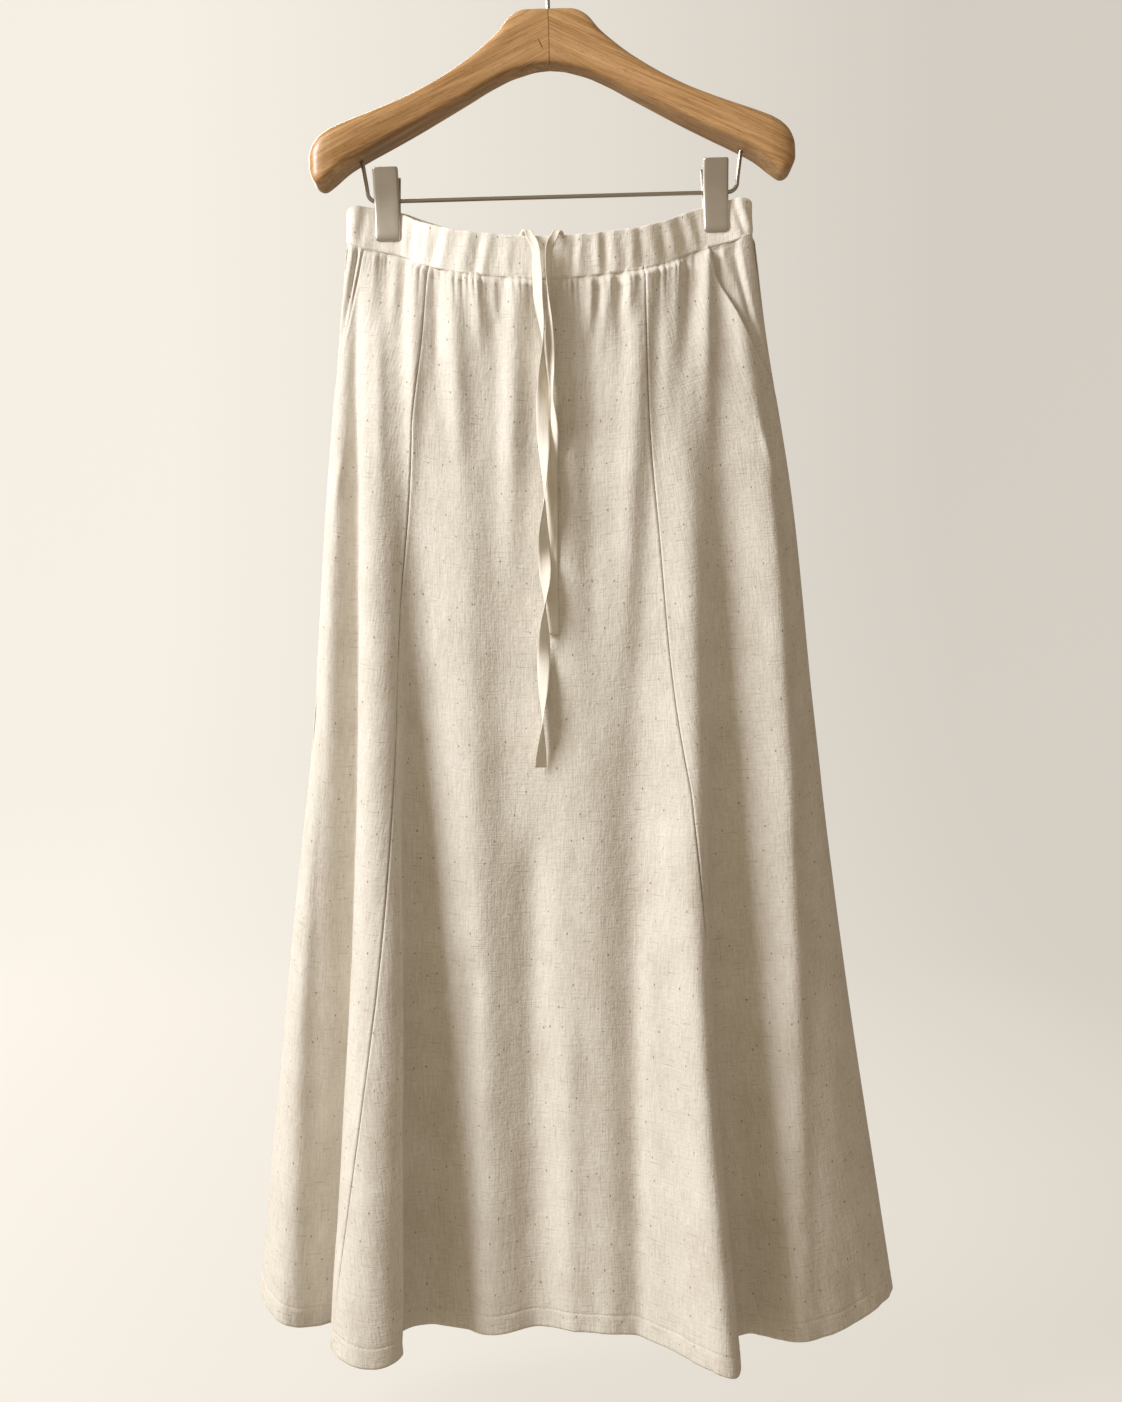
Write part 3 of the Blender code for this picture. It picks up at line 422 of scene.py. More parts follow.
def drift(u, v, start):
    """Smooth random heights between -1 and 1, one swell to a unit; start picks another field."""
    i, j = np.floor(u).astype(int), np.floor(v).astype(int)
    s, t = u - i, v - j
    s, t = s * s * (3 - 2 * s), t * t * (3 - 2 * t)
    i, j = i + start * 37, j + start * 91
    upper = LATTICE[i % FIELD, j % FIELD] * (1 - s) + LATTICE[(i + 1) % FIELD, j % FIELD] * s
    lower = LATTICE[i % FIELD, (j + 1) % FIELD] * (1 - s) + LATTICE[(i + 1) % FIELD, (j + 1) % FIELD] * s
    return upper * (1 - t) + lower * t


def swells(table, u, v, start):
    """Random swells of several sizes on each other, each from its own field."""
    return sum(swell.height * drift(u / swell.across, v / swell.down, start + number)
               for number, swell in enumerate(table))


def ease(low, high, value):
    """0 below low, 1 above high, and a soft step between."""
    t = np.clip((value - low) / (high - low), 0, 1)
    return t * t * (3 - 2 * t)


def rounding(turn, distance):
    """How far the cloth turns in near an edge: its depth and width, and the distance from it."""
    depth, width = turn
    return depth * np.clip(1 - distance / width, 0, 1) ** 2


def ridge(height, distance, width):
    """A soft ridge across a line."""
    return height * np.exp(-(distance / width) ** 2)


def gathers(places, fallen):
    """Cloth drawn up under the band: short teeth at the seam that open into wider soft pleats."""
    along = np.interp(places % TURN, AROUND, WAIST_REACH)
    phase = along / GATHER_PITCH
    for far, length, start in GATHER_SHIFTS:
        phase = phase + far * np.sin(along / length + start)
    number = np.round(phase).astype(int) % FIELD
    strength = TOOTH_STRENGTH[0] + TOOTH_STRENGTH[1] * LATTICE[number, 3]
    run = TOOTH_RUN[0] + TOOTH_RUN[1] * LATTICE[number, 8]
    notch = (0.5 + 0.5 * np.cos(2 * np.pi * phase)) ** 2
    below = np.maximum(fallen, 0)
    teeth = -GATHER_DEPTH * strength * notch * np.exp(-(below / run) ** TOOTH_FADE)
    return teeth + PLEAT_DEPTH * swells(PLEATS, along, fallen, 5) * np.exp(-(below / PLEAT_RUN) ** PLEAT_FADE)


def creases(table, x, down):
    """The listed folds: soft ridges and troughs that follow their own lines down the cloth."""
    out = np.zeros_like(x)
    for crease in table:
        line = np.interp(down, (crease.top, crease.end), (crease.x_top, crease.x_end))
        rise = 1.0 if crease.top == 0 else ease(crease.top, crease.top + CREASE_START, down)
        fade = 1.0 - ease(crease.top + CREASE_FADE * (crease.end - crease.top), crease.end, down)
        out += ridge(CREASE_RISE * crease.height * rise * fade, x - line, crease.width)
    return out


CLIP_SPOTS = (-146.5, 153.0)
CLIP_REACH = (12.0, 30.0)  # the cloth is pressed within the first, free beyond the second
CLIP_LEAVES = (0.8, 0.88)  # shares of the gathers and of the creases that are left under a clip


def free_of_clips(x, reach, least):
    """1 where the cloth hangs free, down to the least where a clip presses it."""
    free = np.ones_like(x)
    for clip in CLIP_SPOTS:
        free = np.minimum(free, least + (1 - least) * ease(*reach, np.abs(x - clip)))
    return free


def relief(places, down, x, u, fallen, above_hem, edge, table, start):
    """How far the cloth stands out of its folds' surface, from the gathers down to the hem."""
    drawn, creased = (free_of_clips(x, CLIP_REACH, least) for least in CLIP_LEAVES)
    out = gathers(places, fallen) * drawn + creases(table, x, down) * creased
    quiet = ease(0, SEAM_QUIET, edge)
    out += ease(*SWELLS_GROW, fallen) * quiet * swells(CLOTH_SWELLS, u, fallen, start)
    near_hem = (1 - ease(0, HEM_SWELL_REACH, np.abs(above_hem - HEM_DEPTH * 0.6))) * quiet
    leaning = u + above_hem * HEM_SWELL.across / HEM_SWELL_LEAN
    out += near_hem * swells([HEM_SWELL], leaning, above_hem, start + 3)
    out -= ridge(HEM_GROOVE[0], above_hem - HEM_DEPTH, HEM_GROOVE[1])
    out += HEM_STEP[0] * (1 - ease(HEM_DEPTH - HEM_STEP[1], HEM_DEPTH, above_hem))
    out -= rounding(HEM_ROUND, above_hem)
    hold_length, hold_share, hold_sink = BAND_HOLD
    held = ease(0, hold_length, fallen)
    out = out * (hold_share + (1 - hold_share) * held) - hold_sink * (1 - held)
    welt_height, welt_place, welt_width = SEAM_WELT
    return out - rounding(SEAM_TURN, edge) + ridge(welt_height, edge - welt_place, welt_width)


def weighted(tree, parts):
    """Patterns added up, each with its weight."""
    total = 0.0
    for part, weight in parts:
        total = add_node(tree, "Math", {0: part, 1: weight, 2: total}, operation="MULTIPLY_ADD")
    return total


def marked(tree, ground, marks, tint):
    """A ground colour with marks of one tint over it, each with its strength."""
    for mark, strength in marks:
        share = add_node(tree, "Math", {0: mark, 1: strength}, operation="MULTIPLY")
        ground = add_node(tree, "MixRGB", {"Fac": share, "Color1": ground, "Color2": colour(tint)})
    return ground


def bark_specks(tree, cloth, cell, radius, share):
    """Specks of flax bark of uneven size: one to a cell of the cloth, in a share of the cells."""
    laid = add_node(tree, "VectorMath", {0: cloth, 1: (1 / (MM * cell[0]), 1 / (MM * cell[1]), 1)},
                    operation="MULTIPLY")
    away = add_node(tree, "TexVoronoi", {"Vector": laid, "Scale": 1.0}, voronoi_dimensions="2D")
    chance = away.node.outputs["Color"]
    size = add_node(tree, "Math", {0: away, 1: chance}, operation="DIVIDE")
    spot = add_node(tree, "MapRange", {"Value": size, "From Min": radius, "From Max": radius * 0.4})
    some = add_node(tree, "Math", {0: chance, 1: share}, operation="LESS_THAN")
    return add_node(tree, "Math", {0: spot, 1: some}, operation="MULTIPLY")


# The cloth's patterns: size across and down in millimetres, detail, and the values that become
# 0 and 1. The yarns are drawn about twice as coarse as the real 0.7 mm, so that they show.
LINEN_PATTERNS = {
    "warp": ((1.5, 19), 2.0, 0.3, 0.7), "weft": ((17, 1.5), 2.0, 0.3, 0.7), "nap": ((2.6, 3.0), 3.0, 0.3, 0.7),
    "clouds": ((34, 52), 3.0, 0.3, 0.7), "crumple": ((6.5, 10), 3.0, 0.2, 0.8),
    "weft_slub": ((20, 1.3), 1.0, 0.66, 0.74), "warp_slub": ((1.3, 26), 1.0, 0.68, 0.76)}
LINEN_TONE = {"warp": 0.34, "weft": 0.16, "nap": 0.2, "clouds": 0.3}
YARN_HEIGHT = 0.00018
CRUMPLE_HEIGHT = 0.0004


def washed_linen(name, light, dark):
    """Linen-cotton in plain weave, washed: matt and napped, its yarns uneven, with darker slubs
    and specks of flax bark."""
    finish, tree, shader = start_material(name, Roughness=0.92, Sheen_Weight=0.25, Sheen_Roughness=0.55,
                                          Specular_IOR_Level=0.2)
    cloth = add_node(tree, "UVMap", uv_map="cloth")
    pattern = {part: sized_pattern(tree, cloth, *row) for part, row in LINEN_PATTERNS.items()}
    tone = weighted(tree, [(pattern[part], weight) for part, weight in LINEN_TONE.items()])
    ground = add_node(tree, "MixRGB", {"Fac": tone, "Color1": colour(light), "Color2": colour(dark)})
    marks = [(pattern["weft_slub"], 0.3), (pattern["warp_slub"], 0.22),
             (bark_specks(tree, cloth, (13, 21), 0.095, 0.75), 0.8),
             (bark_specks(tree, cloth, (5, 7.5), 0.2, 0.5), 0.42)]
    yarn = weighted(tree, [(pattern[part], 1.0) for part in ("warp", "weft", "nap")])
    fine = add_node(tree, "Bump", {"Height": yarn, "Strength": 0.7, "Distance": YARN_HEIGHT})
    soft = add_node(tree, "Bump", {"Height": pattern["crumple"], "Strength": 0.8, "Distance": CRUMPLE_HEIGHT,
                                   "Normal": fine})
    feed(tree, shader, {"Base Color": marked(tree, ground, marks, FLAX_FLECK), "Normal": soft})
    return finish


WASHED_LINEN = washed_linen("washed_linen_cotton", FLAX_LIGHT, FLAX_DARK)


def seam_line(crossings):
    """Where a seam lies, as a function of the share of the length."""
    downs, places = zip(*crossings)
    return lambda down: float(through(downs, places, [max(down, 0.0)])[0])


def row_shares(last=1.0, steps=(GATHERED_STEP, FALLING_STEP)):
    """Shares of the length at which a panel has its rows, closer at the waist and at the hem."""
    marks = list(WAIST_ROWS) + list(np.arange(WAIST_ROWS[-1] + steps[0], GATHERED_LENGTH, steps[0]))
    marks += list(np.arange(GATHERED_LENGTH + ROW_MARGINS[0],
                            last * LENGTH - HEM_ROWS[0] - ROW_MARGINS[1], steps[1]))
    shares = [mark / LENGTH for mark in marks]
    if last == 1.0:
        shares += [1 - mark / LENGTH for mark in HEM_ROWS]
    return shares


STITCH = 2.0  # the part of each stitch that lies on the cloth
STITCH_PITCH = 3.6
STITCH_ENDS = (4.0, 5.0)  # the row starts and stops this far from the seams
STITCH_SHAPE = ((0, 0.25), (0.12, 0.85), (0.35, 1.0), (0.65, 1.0), (0.88, 0.85), (1, 0.25))
STITCH_LIFT = 0.15
STITCH_SINK = 0.2  # its ends go this far into the cloth
THREAD = 0.5
THREAD_SIDES = 6
FINE_POINTS = {"thread": 2500, "panel": 700, "band": 900}  # measuring points along a row
THREAD_PATCH = 10 / 9
THREAD_CREAM = "#DED6C8"


def sewing_thread():
    """Cream polyester thread, tightly twisted: smoother than the cloth and close to its colour."""
    finish, tree, shader = start_material("spun_sewing_thread", Roughness=0.6, Sheen_Weight=0.2)
    spot = add_node(tree, "TexCoord", give="Object")
    patch = sized_pattern(tree, spot, (THREAD_PATCH,) * 3, 1.0)
    tone = add_node(tree, "MixRGB", {"Fac": patch, "Color1": colour(THREAD_CREAM), "Color2": colour(FLAX_DARK)})
    feed(tree, shader, {"Base Color": tone})
    return finish


SEWING_THREAD = sewing_thread()


def hem_stitches(name, start_at, end_at, table, field):
    """The hem's row of stitches: short threads that lie in a shallow groove of the cloth."""
    down = 1 - HEM_DEPTH / LENGTH
    dense = np.linspace(start_at(down), end_at(down), FINE_POINTS["thread"])
    spots = plan(down).at(dense)[0]
    reach = travelled(spots)
    edge = np.minimum(reach, reach[-1] - reach)
    level = np.ones_like(dense)
    out = relief(dense, down, spots[:, 0], reach - reach[-1] / 2, LENGTH * down * level, HEM_DEPTH * level,
                 edge, table, field)
    line = cloth_row(dense, down, out + STITCH_LIFT)
    away = cloth_row(dense, down, out + STITCH_LIFT + 1) - line
    points, faces = [], []
    for first in np.arange(STITCH_ENDS[0], reach[-1] - STITCH_ENDS[1], STITCH_PITCH):
        base = len(points)
        for share, size in STITCH_SHAPE:
            k = int(np.searchsorted(reach, first + share * STITCH))
            sunk = STITCH_SINK * abs(share - 0.5) * 2
            for turn in 2 * np.pi * np.arange(THREAD_SIDES) / THREAD_SIDES:
                points.append(line[k] + away[k] * (math.cos(turn) * THREAD / 2 * size - sunk)
                              + np.array([0, 0, math.sin(turn) * THREAD / 2 * size]))
        rings = (len(STITCH_SHAPE), THREAD_SIDES)
        faces += [tuple(base + corner for corner in face)
                  for face in grid_faces(*rings, ring=True) + end_faces(*rings)]
    return add_piece(name, points, faces, SEWING_THREAD)


def thicken(piece, thickness):
    """Give a face its thickness, inwards from the side that shows."""
    wall = piece.modifiers.new("wall", "SOLIDIFY")
    wall.thickness = thickness * MM
    wall.offset = -1


def cloth_piece(name, node, points, uvs):
    """One cut piece of the skirt's cloth from its rows of points."""
    points, uvs = np.array(points), np.array(uvs)
    piece = add_piece(name, points.reshape(-1, 3), grid_faces(*points.shape[:2]), WASHED_LINEN,
                      uvs.reshape(-1, 2))
    thicken(piece, CLOTH)
    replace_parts(piece, node)
    return piece


def panel(name, node, start_at, end_at, columns, table, field):
    """One panel of the skirt between two seams, as a thin shell on the folds' surface."""
    points, uvs = [], []
    for down in row_shares():
        dense = np.linspace(start_at(down), end_at(down), FINE_POINTS["panel"])
        reach = travelled(plan(down).at(dense)[0])
        between = np.linspace(EDGE_MARKS[-1], reach[-1] - EDGE_MARKS[-1], columns)[1:-1]
        marks = np.concatenate([EDGE_MARKS, between, reach[-1] - np.array(EDGE_MARKS)[::-1]])
        places = np.interp(marks, reach, dense)
        spots = plan(down).at(places)[0]
        fallen, above_hem = LENGTH * down * np.ones_like(marks), LENGTH * (1 - down) * np.ones_like(marks)
        u = marks - reach[-1] / 2
        edge = np.minimum(marks, reach[-1] - marks)
        out = relief(places, down, spots[:, 0], u, fallen, above_hem, edge, table, field)
        points.append(cloth_row(places, down, out))
        uvs.append(np.stack([u, -fallen], axis=1))
    piece = cloth_piece(name, node, points, uvs)
    stitches = hem_stitches(name + "_hem_thread", start_at, end_at, table, field)


# A record for the flat cut of a piece of cloth in metres: widest width, length, area and what it is sewn to
Cut = namedtuple("Cut", "width length area sewn_to")
panel("cloth_front_centre", "front_centre_panel", seam_line(PRINCESS_LEFT), seam_line(PRINCESS_RIGHT),
      250, FRONT_CREASES, 11)


# The two side front panels: the same cloth, each cut away at the top in a slant for the pocket's
# mouth. The mouth's edge is turned in and pressed; below it the panel runs on to the side seam.
MOUTH_LEFT = [Crossing(*row) for row in (
    (0.0, 2.8), (0.05, 1.5), (0.075, 1.0), (0.1, 0.6), (0.125, 0.28), (0.15, 0.0))]
MOUTH_RIGHT = [Crossing(*row) for row in (
    (0.0, 14.5), (0.03, 15.1), (0.05, 15.6), (0.075, 16.15), (0.1, 16.8), (0.125, 17.45), (0.15, 18.0))]
MOUTH_END = 0.15


def outer_line(mouth, side_place):
    """A side panel's outer edge: the pocket's mouth, then the side seam."""
    slant = seam_line(mouth)
    return lambda down: slant(down) if down < MOUTH_END else float(side_place)


panel("cloth_front_left", "front_side_panel_left", outer_line(MOUTH_LEFT, 0), seam_line(PRINCESS_LEFT),
      118, FRONT_CREASES, 23)
panel("cloth_front_right", "front_side_panel_right", seam_line(PRINCESS_RIGHT),
      outer_line(MOUTH_RIGHT, SIDE_RIGHT), 126, FRONT_CREASES, 31)


# The back panel: one wide gore of the same cloth from side seam to side seam, gathered as the front is. Its
# large folds are in the fold table, and these finer ones are listed too.
BACK_CREASES = [Crease(*row) for row in (
    (148, 154, 0.0, 0.16, 8, 1.6), (120, 118, 0.0, 0.09, 6, 1.3), (104, 110, 0.0, 0.3, 9, 1.6),
    (74, 66, 0.0, 0.12, 7, 1.4), (58, 64, 0.03, 0.44, 11, -1.5), (34, 30, 0.0, 0.2, 8, 1.8),
    (-4, -14, 0.0, 0.1, 6, 1.3), (-22, -20, 0.0, 0.34, 10, 1.7), (-48, -58, 0.0, 0.14, 7, 1.5),
    (-80, -96, 0.02, 0.5, 12, -1.4), (-92, -92, 0.0, 0.08, 5, 1.2), (-118, -130, 0.0, 0.22, 8, 1.7),
    (-150, -160, 0.0, 0.12, 6, 1.3), (80, 84, 0.55, 1.3, 13, -1.6), (-20, -28, 0.6, 1.3, 13, 1.3),
    (-120, -132, 0.5, 1.3, 12, 1.2), (215, 236, 0.45, 1.3, 13, -1.5))]
panel("cloth_back", "back_panel", lambda down: float(SIDE_RIGHT), lambda down: float(TURN), 250,
      BACK_CREASES, 47)


# The side pieces that show in the pocket mouths, of the same cloth. Each goes on behind the
# panel as the back of the pocket bag, and is gathered into the band with the rest.
FACING_TUCK = 0.55
FACING_DROP = 0.262
FACING_ROUND = 0.6
FACING_COLUMNS = 46
FACING_STEPS = (2.5, 5.0)
FACING_SINK = (0.3, 2.3, 2.0)  # behind the panel: at the side seam, more at the mouth, more past it
FACING_BELOW = 2.6  # the least below the mouth
FACING_TOP = (1.3, 16.0, 20.0)  # the most at the band, which grows over a length by so much
FACING_SWELL = Swell(0.2, 9, 22)
FACING_HOLD = (7.0, 0.2)
FACING_LEAST = (0.25, 0.6)  # the narrowest mouth that its depth and its creases are measured by
FACING_GATHERS = 0.5
FACING_CLEAR = 0.1
# Across the facing from the side seam (0) to the mouth (1): ridges and troughs that fall from the band
FACING_CREASES = {"left": [Crease(*row) for row in (
    (0.3, 0.2, 0.0, 0.12, 0.12, 0.9), (0.62, 0.5, 0.0, 0.1, 0.1, -1.0), (0.85, 0.8, 0.0, 0.06, 0.1, 0.7))],
    "right": [Crease(*row) for row in (
        (0.24, 0.3, 0.0, 0.2, 0.13, 1.2), (0.5, 0.62, 0.0, 0.14, 0.1, -1.3), (0.72, 0.8, 0.0, 0.05, 0.1, 0.8))]}


def facing(side, side_place, mouth, inward, field):
    """The side piece and bag back: level with the panel at the side seam, behind it at the mouth."""
    reach = abs(mouth[0].place - side_place) + FACING_TUCK
    mouth_at = seam_line(mouth)
    at_seam, at_mouth, past_mouth = FACING_SINK
    top_most, top_length, top_growth = FACING_TOP
    hold_length, hold_share = FACING_HOLD
    points, uvs = [], []
    for down in row_shares(FACING_DROP, FACING_STEPS):
        round_off = max(0.0, (down - MOUTH_END) / (FACING_DROP - MOUTH_END))
        width = reach * math.sqrt(1.0 - (FACING_ROUND * round_off) ** 2)
        opening = abs(mouth_at(down) - side_place) if down < MOUTH_END else 0.0
        away = np.linspace(0.002, width, FACING_COLUMNS)[::inward]
        places = side_place + inward * away
        spots = plan(down).at(places)[0]
        fallen = LENGTH * down * np.ones_like(places)
        behind = at_seam + at_mouth * ease(0, 1, away / max(opening, FACING_LEAST[0]))
        behind += past_mouth * np.clip(away - opening, 0, 1)
        if down >= MOUTH_END:
            behind = np.maximum(behind, FACING_BELOW)
        behind = np.minimum(behind, top_most + top_growth * ease(0, top_length, fallen))
        out = creases(FACING_CREASES[side], away / max(opening, FACING_LEAST[1]), down)
        out += FACING_GATHERS * gathers(places, fallen)
        out += swells([FACING_SWELL], spots[:, 0], fallen, field)
        out *= hold_share + (1 - hold_share) * ease(0, hold_length, fallen)
        points.append(cloth_row(places, down, np.minimum(out - behind, -FACING_CLEAR)))
        uvs.append(np.stack([travelled(spots), -fallen], axis=1))
    piece = cloth_piece("cloth_pocket_" + side, "pocket_facing_" + side, points, uvs)


facing("left", 0.0, MOUTH_LEFT, 1, 61)
facing("right", float(SIDE_RIGHT), MOUTH_RIGHT, -1, 67)


# The waistband: a straight strip of the same cloth folded double over the drawstring, 39 mm
# tall, with the cloth bunched along the string in soft upright puckers. It is sewn to the
# gathered panels along its lower edge, and its two halves meet at the side seams.
BAND_WALL = 2.4
BAND_HEIGHT = 39.0
BAND_LIFT = 0.45
# The band is the skirt's own cloth, but both its tones are painted lighter: painted light that stands in for
# light the band would catch.
BAND_LIGHT_PAINTED_LIT = "#F6F2EB"
BAND_DARK_PAINTED_LIT = "#D9D2C5"
BAND_COLUMN = 1.3
BAND_SEAM_EDGE = ((0.0, -1.2), (0.0, -1.0), (0.3, -0.45), (0.9, -0.1))  # up from it, and inwards
BAND_FOLD_EDGE = ((0.9, -0.1), (0.3, -0.45), (0.0, -1.2), (0.3, -1.95), (0.9, -2.3))  # down from it
BAND_FACE = (1.8, 2.0, 20)  # the outer face: from the seam, from the fold, and its rows
BAND_INSIDE = (3.0, 1.0, 10)
BAND_SWELLS = [Swell(0.3, 7, 17), Swell(0.14, 3.4, 8)]
BAND_TURN = (0.9, 1.4)  # where its halves meet: how deep they turn in, over what width
BAND_CLIP_REACH = (11.5, 18.0)
BAND_CLIPPED = 0.15  # the share of its relief that is left under a clip
PUCKER_RISE = 1.6
CORNER_REACH = 19.0  # the band's upper corners are rounded off over this width
CORNER_DROP = 10.0
Pucker = namedtuple("Pucker", "top low width height")
FRONT_PUCKERS = [Pucker(*row) for row in (
    (-176, -180, 5, 0.7), (-166, -172, 4, -0.8), (-128, -134, 4.5, 0.9), (-121, -126, 3.2, -0.8),
    (-115, -118, 2.6, 0.8), (-107, -113, 3.4, 0.9), (-97, -106, 3.6, -0.8), (-89, -97, 4.5, 1.1),
    (-70, -78, 5, 1.0), (-60, -66, 3.4, -0.8), (-52, -58, 4.5, 0.9), (-34, -37, 5, 0.7), (30, 28, 4.5, 0.9),
    (24, 22, 3.2, -0.9), (44, 46, 3.6, 1.0), (50, 52, 3, -0.9), (58, 62, 4.5, 0.9), (75, 77, 4.5, 1.0),
    (83, 86, 3.2, -0.9), (92, 98, 4.5, 1.0), (101, 108, 3, -0.8), (108, 117, 4, 1.1), (118, 128, 3, -0.9),
    (125, 136, 4, 1.0), (133, 143, 3, -0.7), (168, 181, 3, -1.2), (174, 187, 3.4, 0.9))]
BACK_PUCKERS = [Pucker(*row) for row in (
    (172, 176, 4, 0.8), (134, 138, 4.5, 0.9), (124, 126, 3.2, -0.9), (112, 116, 4.5, 1.0),
    (92, 90, 4.5, 0.9), (84, 83, 3.2, -0.8), (72, 74, 5, 1.0), (50, 46, 4.5, 1.0), (40, 38, 3.2, -0.9),
    (30, 26, 4.5, 0.9), (8, 10, 5, 1.0), (-2, 0, 3.2, -0.9), (-12, -12, 4.5, 1.0), (-34, -38, 5, 1.0),
    (-46, -47, 3.2, -0.8), (-56, -60, 4.5, 0.9), (-76, -74, 4.5, 1.1), (-86, -86, 3.2, -0.9),
    (-98, -102, 4.5, 1.0), (-118, -120, 4, 0.8), (-130, -134, 3.2, -0.8), (-170, -176, 4, 0.8))]
# A lighter copy of the skirt's linen: painted light on the band.
BAND_LINEN_PAINTED_LIGHTER = washed_linen("washed_linen_cotton_painted_lighter", BAND_LIGHT_PAINTED_LIT, BAND_DARK_PAINTED_LIT)


def waistband(name, node, start, end, puckers, field):
    """Half of the band as a closed tube: outer face, folded top edge, inner face, seam edge."""
    dense = np.linspace(start, end, FINE_POINTS["band"])
    reach = travelled(plan(0.0).at(dense)[0])
    marks = np.linspace(SEAM_GAP / 2, reach[-1] - SEAM_GAP / 2, int(reach[-1] / BAND_COLUMN))
    places = np.interp(marks, reach, dense)
    spot, outward = surface(places, 0.0)
    seam_z = WAIST_Z.at(places)[0][:, 0] - SEAM_GAP / 2
    free = free_of_clips(spot[:, 0], BAND_CLIP_REACH, 0.0)
    edge = np.minimum(marks, reach[-1] - marks)
    section = [(BAND_LIFT + up, inset) for up, inset in BAND_SEAM_EDGE]
    section += [(height, 0.0) for height in
                np.linspace(BAND_LIFT + BAND_FACE[0], BAND_HEIGHT - BAND_FACE[1], BAND_FACE[2])]
    outer_rows = len(section) + 1
    section += [(BAND_HEIGHT - below, inset) for below, inset in BAND_FOLD_EDGE]
    section += [(height, -BAND_WALL) for height in
                np.linspace(BAND_HEIGHT - BAND_INSIDE[0], BAND_LIFT + BAND_INSIDE[1], BAND_INSIDE[2])]
    rows, uvs = [], []
    for number, (height, inset) in enumerate(section):
        share = (height - BAND_LIFT) / (BAND_HEIGHT - BAND_LIFT)
        level = np.full(len(places), height)
        out = np.zeros(len(places))
        for pucker in puckers:
            line = pucker.low + (pucker.top - pucker.low) * share
            out += ridge(PUCKER_RISE * pucker.height, spot[:, 0] - line, pucker.width)
        out *= 0.2 + 0.8 * math.sin(math.pi * min(1.0, 0.12 + 0.8 * share))
        out += swells(BAND_SWELLS, marks, level, field)
        out = out * (BAND_CLIPPED + (1 - BAND_CLIPPED) * free) + inset - rounding(BAND_TURN, edge)
        if inset <= -BAND_WALL:
            out = np.full(len(places), inset)
        x, y = (spot + outward * out[:, None]).T
        corner = rounding((CORNER_DROP, CORNER_REACH), edge) * share
        rows.append(np.stack([x, y, seam_z + height - corner], axis=1))
        uvs.append(np.stack([marks, level if number < outer_rows else 2 * BAND_HEIGHT - level], axis=1))
    points, flat = np.stack(rows, axis=1), np.stack(uvs, axis=1)
    faces = [quad[::-1] for quad in grid_faces(*points.shape[:2], ring=True)] + end_faces(*points.shape[:2])
    piece = add_piece(name, points.reshape(-1, 3), faces, BAND_LINEN_PAINTED_LIGHTER, flat.reshape(-1, 2))
    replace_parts(piece, node)


waistband("cloth_band_front", "waistband_front", 0.0, float(SIDE_RIGHT), FRONT_PUCKERS, 71)
waistband("cloth_band_back", "waistband_back", float(SIDE_RIGHT), float(TURN), BACK_PUCKERS, 83)


# The hanger's wood: two arms of light oak, each sawn and moulded from its own board, glued in a
# mitre at the middle, sanded and sprayed with satin lacquer. Rounded above, flatter underneath,
# with drilled holes for the hook's stem and the bar's ends.
HANGER_ROLL = math.radians(1.6)
WoodSection = namedtuple("WoodSection", "out top under depth")
WOOD = [WoodSection(*row) for row in (
    (0, -74, -126, 27), (14, -74, -127.5, 27), (25, -75, -130.5, 27.5), (36, -81.5, -134, 28),
    (46, -94, -138.5, 29), (57, -104.5, -144, 30), (70, -115.5, -151.5, 31.5),
    (86, -127, -160.5, 33.5), (104, -138.5, -170.5, 36), (125, -150, -182, 39),
    (147, -160, -193.5, 42), (169, -169, -205, 44.5), (187, -176, -216, 45.5),
    (199, -181, -226.5, 45), (208, -186.5, -233, 42), (214, -192.5, -231.5, 37),
    (218.5, -201, -224, 27), (220, -208, -217, 12))]
WOOD_MIDDLE = -2.0
WOOD_SWEEP = 8.0
WOOD_CROWN = 0.6  # how square a section is above and below: 1 is round, 0 is square
WOOD_BELLY = 0.28
SHOULDER = 199.0  # where an arm begins to close into its rounded end
WOOD_ROWS = 80
WOOD_END_ROWS = 22
WOOD_TIP = ((0.7, 0.25), (0.3, 0.35))  # the last rings: size, and how far past the end
WOOD_CORNERS = 72
MITRE_GAP = 0.05
GRAIN_ANGLE = math.radians(27)
BOARD_APART = 70.0  # so that the two arms don't share their grain
HOOK_WIRE = 4.0
BAR_WIRE = 3.7
HOLE_FIT = 0.3
HOOK_DEPTH = 21.7  # how far the hook's stem goes into the wood
BAR_Z = -244.3
BAR_BEND = 9.0
BAR_ENDS = (-177.0, 172.0)
BAR_FEET = (-171.5, 166.5)
BAR_TOP = -197.3
# Size along, across and through the board in millimetres, detail, the values that become 0 and 1
OAK_PATTERNS = {"grain": ((60, 1.1, 4), 3.0, 0.38, 0.64), "rings": ((150, 4.6, 11), 2.0, 0.42, 0.62),
                "board": ((260, 24, 24), 1.0, 0.3, 0.7), "pores": ((7, 0.5, 1.2), 1.0, 0.63, 0.72)}
OAK_TONE = {"grain": 0.55, "rings": 0.42, "board": 0.22}
OAK_WAVER = 0.35
OAK_FACE = "#C99F6F"
OAK_GRAIN = "#99703F"
OAK_PORE = "#7B4F27"
KNOT_SPOT = (-0.0066, -0.014, -0.1095)  # a short dark slit beside the mitre, in metres
KNOT_SIZE = (0.0008, 0.006, 0.0055)
KNOT_LEAN = math.radians(-26)


def rolled(points):
    """Hanger points turned about the seat of its hook, by as much as it hangs low on the left."""
    x, y, z = np.asarray(points, dtype=float).T
    return np.stack([x * math.cos(HANGER_ROLL) - z * math.sin(HANGER_ROLL), y,
                     x * math.sin(HANGER_ROLL) + z * math.cos(HANGER_ROLL)], axis=1)


